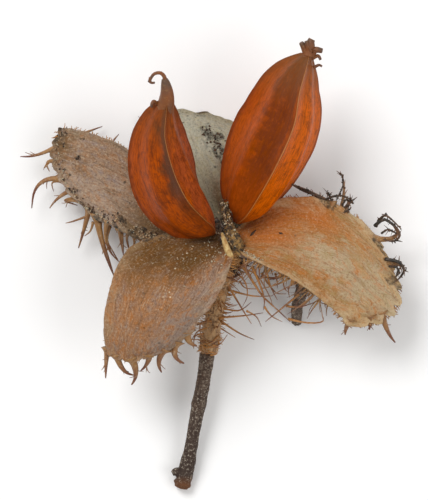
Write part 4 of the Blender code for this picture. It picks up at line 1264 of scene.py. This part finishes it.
def make_limb(name):
    """A closed limb with furrows along it. The attribute level is the height of its relief."""
    line, radii, sides, steps, height, seed, knots = LIMBS[name]
    bm = stacked_rings(sides, steps)
    level_layer = bm.verts.layers.float.new("level")
    length = sum((Vector(b) - Vector(a)).length for a, b in zip(line, line[1:]))
    for vertex in bm.verts:
        along = vertex.co.z + 0.5
        turn = math.atan2(vertex.co.y, vertex.co.x)
        here, side, up = line_frame(line, along)
        out = side * math.cos(turn) + up * math.sin(turn)
        ring = Vector((math.cos(turn), math.sin(turn), 0.0))
        furrows = rough(ring * 1.6 + Vector((0, 0, along * length * 0.35)), 0.42, seed)
        lumps = rough(ring * 1.2 + Vector((0, 0, along * length * 0.9)), 0.8, seed + 1)
        fine = rough(ring * 2.4 + Vector((0, 0, along * length * 1.5)), 0.3, seed + 2)
        relief = furrows * 0.6 + lumps * 0.4 + fine * 0.3
        radius = smooth_value(radii, along)
        for place, size, width in knots:
            radius += size * math.exp(-((along - place) * length / width) ** 2)
        vertex[level_layer] = min(max(0.5 + relief * 0.9, 0.0), 1.0)
        vertex.co = here + out * (radius + relief * height)
        vertex.co.z = max(vertex.co.z, 0.0)
    face_out(bm)
    return to_object(name, bm)


class BEECH_OT_stalk(bpy.types.Operator):
    """Makes the woody stalk with its bark, its broken end and its knots"""

    bl_idname = "beech.stalk"
    bl_label = "Stalk"

    def execute(self, context):
        bark = bark_finish("dry_twig_bark")
        dress(make_limb("stalk_bark"), "bark", bark, node="stalk")
        dress(make_limb("stalk_scar"), "bark", bark)
        dress(make_limb("spur"), "valve", bark)
        return {"FINISHED"}


def neck_place(along):
    """A place in the middle of the neck and the way along it."""
    here = smooth_line(BASE_LINE, along)
    return here, (smooth_line(BASE_LINE, along + 0.05) - here).normalized()


def neck_root(draw, along, depth):
    """A place just under the neck's surface, the drawn way out of it and the way along it."""
    here, ahead = neck_place(along)
    out = Matrix.Rotation(draw.uniform(0, 2 * math.pi), 3, ahead) @ ahead.orthogonal()
    out.normalize()
    return here + out * smooth_value(BASE_RADII, along) * depth, out, ahead


class BEECH_OT_base(bpy.types.Operator):
    """Makes the neck and cup of the husk with their bristles"""

    bl_idname = "beech.base"
    bl_label = "Base"

    def execute(self, context):
        c = context.scene.husk_colours
        draw = random.Random(77)
        dress(make_limb("neck"), "husk_base", neck_finish(), node="cupule_base")
        trees = obstacle_trees()
        golden = [tapered(points, radius * 0.8, 12) for radius, *points in NECK_BRISTLES]
        for _ in range(GOLDEN_TRIES):
            if len(golden) > MOST_GOLDEN:
                break
            along = draw.uniform(0.22, 0.85)
            root, out, ahead = neck_root(draw, along, 0.85)
            line = back_spine(root, out, -ahead, draw, 0.9 + 3.2 * along, 0.1)
            if keeps_clear(line[1:], "", trees, 0.3):
                golden.append(tapered(line, draw.uniform(0.05, 0.11), 7))
        for _ in range(RING_STRANDS):
            along, start = draw.uniform(0.0, 0.12), draw.uniform(0, 2 * math.pi)
            here, ahead = neck_place(along)
            side = ahead.orthogonal().normalized() * smooth_value(BASE_RADII, along) * 1.16
            ring = []
            for k in range(5):
                turn = Matrix.Rotation(start + 0.6 * k, 3, ahead)
                ring.append(here + turn @ side + ahead * draw.gauss(0, 0.12))
            golden.append(tapered(ring, draw.uniform(0.06, 0.1), 12, 0.6))
        x, y, z = SWIRL_PLACE
        for _ in range(SWIRL_STRANDS):
            radius, start = draw.uniform(0.6, 1.2), draw.uniform(0.3, 3.6)
            swirl = []
            for k in range(6):
                turn = start + 0.45 * k
                height = z + draw.gauss(0, 0.12) + 0.3 * math.sin(turn)
                swirl.append((x + radius * math.cos(turn), y + radius * math.sin(turn), height))
            golden.append(tapered(swirl, draw.uniform(0.05, 0.09), 12, 0.5))
        fuzz = []
        for _ in range(NECK_HAIRS):
            root, out, ahead = neck_root(draw, draw.uniform(0.0, 0.9), 0.95)
            line = back_spine(root, out, -ahead, draw, 0.8, 0.04)
            fuzz.append(tapered(line[::2], 0.04, 4, 0.5))
        bristle = spine_finish("golden_bristle", c.bristle, c.spine_tip, c.silk_and_sheen)
        hair = spine_finish("neck_hair", c.neck, c.bristle, c.silk_and_sheen)
        dress(strands("neck_bristles", golden, 6), "husk_base", bristle)
        dress(strands("neck_fuzz", fuzz, 4), "husk_base", hair)
        return {"FINISHED"}


# Nuts


def make_nut(name, finish):
    """A closed three-ridged shell with thin keels, mapped by face and by length."""
    sizes = bpy.context.scene.nut_sizes
    line, widest, turn, profile = NUTS[name]
    seed = NUT_SEEDS[name]
    segments = NUT_RIDGES * NUT_FACE_STEPS
    bm = stacked_rings(segments, NUT_RINGS)
    ridge_layer = bm.verts.layers.float.new("ridge")
    uv = bm.loops.layers.uv.new("UVMap")
    places = {}
    for vertex in bm.verts:
        along = vertex.co.z + 0.5
        angle = math.atan2(vertex.co.y, vertex.co.x) % (2 * math.pi)
        around = round(angle / (2 * math.pi) * segments) % segments / NUT_FACE_STEPS
        places[vertex] = (around, along)
        point = nut_point(line, widest, turn, profile, along, around)
        middle = smooth_line(line, along)
        out = (point - middle).normalized()
        share = around - int(around)
        nearness = abs(share - 0.5) * 2
        thick = math.sin(math.pi * min(max(along, 0.0), 1.0))
        ripple = rough((around * 6.5, along * 2.5, 0.0), 1.1, seed) * 0.7
        ripple += rough((around * 6.5, along * 4.0, 0.0), 0.5, seed + 1) * 0.3
        keel = max(0.0, nearness - 0.93) / 0.07
        push = ripple * sizes.ripple / MM * thick * (1 - keel) + keel**2 * sizes.keel / MM * thick
        push += rough((0.0, along * 14, int(around)), 0.9, seed + 3) * 0.05 * ease(0.8, 1, nearness)
        vertex.co = point + out * push
        vertex[ridge_layer] = nearness
    for face in bm.faces:
        turns = [places[loop.vert][0] for loop in face.loops]
        wraps = max(turns) - min(turns) > NUT_RIDGES / 2 and len(turns) < 5
        for loop in face.loops:
            around, along = places[loop.vert]
            loop[uv].uv = (around + NUT_RIDGES if wraps and around < 1 else around, along)
    face_out(bm)
    nut = to_object(name + "_shell", bm)
    nut.data.set_sharp_from_angle(angle=math.radians(50))
    dress(nut, "nut_shell", finish, node=name)


class BEECH_OT_nuts(bpy.types.Operator):
    """Makes the two nuts with the dry remains of the flower on their tips"""

    bl_idname = "beech.nuts"
    bl_label = "Nuts"

    def execute(self, context):
        c = context.scene.husk_colours
        for name, right, margin, band, look in (
            ("nut_left", c.shell_red, c.shell_red, colour_from_hex("#4f3420"),
             {"band_at": 0.12, "band_width": 0.3, "band": 0.95, "band_from": 0.25, "spots": 0.4,
              "top": colour_from_hex("#6a3f22")}),
            ("nut_right", c.shell_amber, colour_from_hex("#923a0e"), c.shell_dark,
             {"band_at": 0.3, "band_width": 0.32, "band": 0.85, "band_from": 0.1, "spots": 0.3,
              "top": colour_from_hex("#6e4a2c")}),
        ):
            label = name.replace("nut", "polished_shell")
            make_nut(name, shell_finish(label, c.shell_orange, right, margin, band, look))
        brown, dark, pale = (colour_from_hex(code) for code in ("#7c461e", "#5a4030", "#9c7444"))
        style = spine_finish("dry_style", brown, dark, pale)
        for name, bits in NUT_TIPS.items():
            draw = random.Random(len(name))
            lines = []
            for radius, *points in bits:
                bent = [Vector(points[0])]
                bent += [Vector(p) + shaken(draw, 0.04) for p in points[1:]]
                end_share = 0.3 if radius > 0.6 else 0.6
                lines.append(tapered(bent, radius * draw.uniform(0.9, 1.2), 14, end_share, 0.1))
            for _ in range(TUFT_BITS.get(name, 0)):
                start = Vector(TUFT_PLACE) + shaken(draw, 0.22)
                way = Vector((0.15, 0.8, 0.25)) + shaken(draw, 0.6)
                end = start + way.normalized() * draw.uniform(0.4, 0.9)
                lines.append(tapered((start, (start + end) / 2, end), draw.uniform(0.08, 0.16), 5))
            dress(strands(name + "_tip", lines, 8), "nut_shell", style)
        return {"FINISHED"}


# Crumbs and withered bits


def crumbs(name, places, finish, slot, seed):
    """Small rough lumps in one mesh, at given places with given radii."""
    draw = random.Random(seed)
    bm = bmesh.new()
    for place, radius in places:
        turn = Matrix.Rotation(draw.uniform(0, 6.28), 4, "Z")
        turn = turn @ Matrix.Rotation(draw.uniform(0, 6.28), 4, "X")
        shape = Matrix.Diagonal((draw.uniform(0.7, 1.4), 1.0, draw.uniform(0.5, 1.0), 1.0))
        made = bmesh.ops.create_icosphere(
            bm, subdivisions=1, radius=radius, matrix=Matrix.Translation(place) @ turn @ shape,
        )
        for vertex in made["verts"]:
            away = (vertex.co - Vector(place)) * draw.uniform(-0.45, 0.5)
            vertex.co += away
    dress(to_object(name, bm), slot, finish)


def on_valve(name, along, across, lift):
    """A place just above the inside of a valve."""
    edges = VALVES[name]
    point = valve_point(edges, along, across)
    return point - valve_outward(edges, min(max(along, 0.03), 0.97), across) * lift


def slit_lines():
    """Points and radii of the two dark slits, laid on the inside of the right valve."""
    valve = obstacle_trees()["valve_right"]
    down = Vector((0, 0, -1))
    lines = []
    for (x0, y0), (x1, y1) in SLITS:
        places = ((x0, y0), ((x0 + x1) / 2, (y0 + y1) / 2), (x1, y1))
        ends = [valve.ray_cast(Vector((x, y, 40)), down)[0] for x, y in places]
        lines.append((ends, (0.05, 0.16, 0.05)))
    return lines


def seam_crumbs(draw, pale, black):
    """Adds the crumbs along the mouldy seam and the heaps below it."""
    for _ in range(SEAM_CRUMBS):
        spot = smooth_line(SEAM_LINE, draw.random())
        shift = Vector([draw.gauss(0, k) for k in (0.28, 0.2, 0.16)]) + Vector((0, 0, 0.36))
        pile = pale if draw.random() < 0.34 else black
        pile.append((spot + shift, draw.uniform(0.04, 0.11)))
    for place, spread, count in HEAPS:
        for _ in range(count):
            shift = Vector([draw.gauss(0, k * spread) for k in (1.0, 1.0, 0.5)])
            pile = pale if draw.random() < 0.25 else black
            pile.append((Vector(place) + shift, draw.uniform(0.04, 0.12)))


def valve_crumbs(draw, pale, black):
    """Adds the sand and mould on the valves and under the left nut, and black crumbs of painted
    shadow.
    """
    for _ in range(FRONT_SAND):
        along, across = abs(draw.gauss(0, 0.16)) + 0.04, draw.uniform(-0.6, 0.9)
        pale.append((on_valve("valve_front", along, across, 0.06), draw.uniform(0.03, 0.09)))
    for along, across in RIGHT_EDGE_MOULD:
        for _ in range(RIGHT_EDGE_HEAP):
            a, b = along + draw.gauss(0, 0.02), max(across + draw.gauss(0, 0.05), -0.97)
            pale.append((on_valve("valve_right", a, b, 0.06), draw.uniform(0.04, 0.1)))
    # Painted shadow: black crumbs along the front valve's edge, under the left nut
    for _ in range(FRONT_EDGE_SHADOW_CRUMBS):
        a, b = draw.uniform(0.0, 0.34), -0.99 + abs(draw.gauss(0, 0.05))
        black.append((on_valve("valve_front", a, b, 0.04), draw.uniform(0.04, 0.12)))
    for x, y in UNDER_NUT_MOULD:
        for _ in range(UNDER_NUT_HEAP):
            place = Vector((x + draw.gauss(0, 0.3), y + draw.gauss(0, 0.1), 8.8))
            pale.append((place, draw.uniform(0.04, 0.1)))
    for name in ("valve_left", "valve_back"):
        for along, across, radius in VALVE_FORMS[name]["soot"]:
            for _ in range(int(SOOT_CRUMBS * radius)):
                a = along + draw.gauss(0, radius * 0.45)
                b = across + draw.gauss(0, radius)
                if 0.05 < a < 0.98 and abs(b) < 0.99:
                    size = draw.uniform(0.04, 0.13)
                    black.append((on_valve(name, a, b, 0.05), size))
    for k in range(LEFT_EDGE_CRUMBS):
        a, b = draw.uniform(0.25, 0.93), 0.98 - abs(draw.gauss(0, 0.12))
        if k % 3 == 0:
            a, b = 0.94 - abs(draw.gauss(0, 0.04)), draw.uniform(-0.9, 0.95)
        size = draw.uniform(0.03, 0.1)
        pile = black if draw.random() < 0.5 else pale
        pile.append((on_valve("valve_left", a, b, 0.06), size))


def withered_twigs(draw, black):
    """Points and radii of the dark twigs and curls, and adds the crumbs that cling to them."""
    lines = []
    for radius, *points in DARK_TWIGS + CURL_BITS:
        bent = [Vector(p) + shaken(draw, 0.035) for p in points]
        lines.append(tapered(bent, radius * 0.62, 18, 0.35, 0.0))
        for _ in range(SIDE_TWIGS):
            start = smooth_line(bent, draw.uniform(0.1, 0.95))
            way = Vector([draw.uniform(-1, 1) for _ in range(3)]).normalized()
            end = start + way * draw.uniform(0.25, 0.8)
            lines.append(tapered((start, (start + end) / 2, end), draw.uniform(0.04, 0.1), 4))
        for _ in range(TWIG_CRUMBS):
            shift = shaken(draw, 0.1)
            black.append((smooth_line(bent, draw.random()) + shift, draw.uniform(0.05, 0.13)))
    return lines


class BEECH_OT_crumbs(bpy.types.Operator):
    """Scatters the mould, sand and withered bits that cling to the husk, and crumbs of painted
    shadow
    """

    bl_idname = "beech.crumbs"
    bl_label = "Crumbs"

    def execute(self, context):
        c = context.scene.husk_colours
        draw = random.Random(5)
        mouldy = crumb_finish("mouldy_seam", colour_from_hex("#94703e"), c.soot)
        dress(make_limb("seam"), "husk_base", mouldy)
        woolly = crumb_finish("pale_lip", colour_from_hex("#cfb67e"), colour_from_hex("#a67a44"))
        dress(make_limb("lip"), "valve", woolly)
        slit = crumb_finish("dark_slit", colour_from_hex("#4a2f1c"), c.soot)
        dress(strands("slits", slit_lines(), 6), "valve", slit)
        pale, black = [], []
        seam_crumbs(draw, pale, black)
        valve_crumbs(draw, pale, black)
        twigs = withered_twigs(draw, black)
        crumbs("mould_crumbs", pale, crumb_finish("mould_crumb", c.mould, c.neck), "husk_base", 7)
        withered = crumb_finish("withered_crumb", c.soot, c.neck_dark)
        crumbs("dark_crumbs", black, withered, "valve_weathered", 8)
        twig = spine_finish("withered_twig", c.soot, c.neck_dark, c.bark_pale)
        dress(strands("withered_twigs", twigs, 6), "valve", twig)
        return {"FINISHED"}


# Stage


class BEECH_OT_stage(bpy.types.Operator):
    """Sets the pale floor, the soft studio light and the camera that looks straight down"""

    bl_idname = "beech.stage"
    bl_label = "Stage"

    def execute(self, context):
        scene = context.scene
        bm = bmesh.new()
        bmesh.ops.create_circle(bm, cap_ends=True, segments=64, radius=FLOOR_RADIUS)
        floor = to_object("floor", bm)
        material, add = new_finish("painted_board", 0.6, Specular_IOR_Level=0.2)
        place = add("TexCoord", give="Object")
        shade = add("TexNoise", {0: place, "Scale": 30.0, "Detail": 2.0})
        share = add("MapRange", (shade, 0.3, 0.7, 0.0, 0.06))
        colour = coats(add, scene.husk_colours.floor, ((colour_from_hex("#ececea"), share),))
        floor.data.materials.append(finish_off(material, colour))
        world = bpy.data.worlds.new("studio")
        world.use_nodes = True
        sky = world.node_tree.nodes["Background"]
        sky.inputs["Color"].default_value = opaque(SKY_COLOUR)
        sky.inputs["Strength"].default_value = SKY_STRENGTH
        scene.world = world
        for name, place, size, power in LAMPS:
            light = bpy.data.lights.new(name, "AREA")
            light.shape = "DISK"
            light.size = size
            light.energy = power
            lamp = bpy.data.objects.new(name, light)
            lamp.location = place
            way = Vector(LIT_PLACE) - lamp.location
            lamp.rotation_euler = way.to_track_quat("-Z", "Y").to_euler()
            scene.collection.objects.link(lamp)
        camera = bpy.data.cameras.new("camera")
        camera.sensor_fit = "VERTICAL"
        camera.sensor_height = SENSOR_HEIGHT
        camera.lens = CAMERA_LENS
        camera.clip_end = CLIP_END
        eye = bpy.data.objects.new("camera", camera)
        eye.location = CAMERA_PLACE
        scene.collection.objects.link(eye)
        scene.camera = eye
        scene.view_settings.view_transform = "Standard"
        return {"FINISHED"}


class BEECH_PT_pieces(bpy.types.Panel):
    """Lists the pieces of the husk and their settings"""

    bl_label = "Beech husk"
    bl_idname = "BEECH_PT_pieces"
    bl_space_type = "VIEW_3D"
    bl_region_type = "UI"
    bl_category = "Beech"

    def draw(self, context):
        for piece in PIECES:
            self.layout.operator(piece.bl_idname)
        for settings in ("husk_sizes", "nut_sizes", "husk_colours"):
            group = getattr(context.scene, settings)
            box = self.layout.box()
            for name in group.__annotations__:
                box.prop(group, name)


SETTINGS = {"husk_sizes": HuskSizes, "nut_sizes": NutSizes, "husk_colours": HuskColours}
PIECES = (
    BEECH_OT_valves, BEECH_OT_spines, BEECH_OT_stalk, BEECH_OT_base, BEECH_OT_nuts,
    BEECH_OT_crumbs, BEECH_OT_stage,
)


def register():
    for group in (*SETTINGS.values(), *PIECES, BEECH_PT_pieces):
        bpy.utils.register_class(group)
    for name, group in SETTINGS.items():
        setattr(bpy.types.Scene, name, PointerProperty(type=group))


def unregister():
    for name in SETTINGS:
        delattr(bpy.types.Scene, name)
    for group in (BEECH_PT_pieces, *reversed(PIECES), *SETTINGS.values()):
        bpy.utils.unregister_class(group)


def main():
    register()
    bpy.ops.beech.valves()
    bpy.ops.beech.spines()
    bpy.ops.beech.stalk()
    bpy.ops.beech.base()
    bpy.ops.beech.nuts()
    bpy.ops.beech.crumbs()
    bpy.ops.beech.stage()


if __name__ == "__main__":
    main()
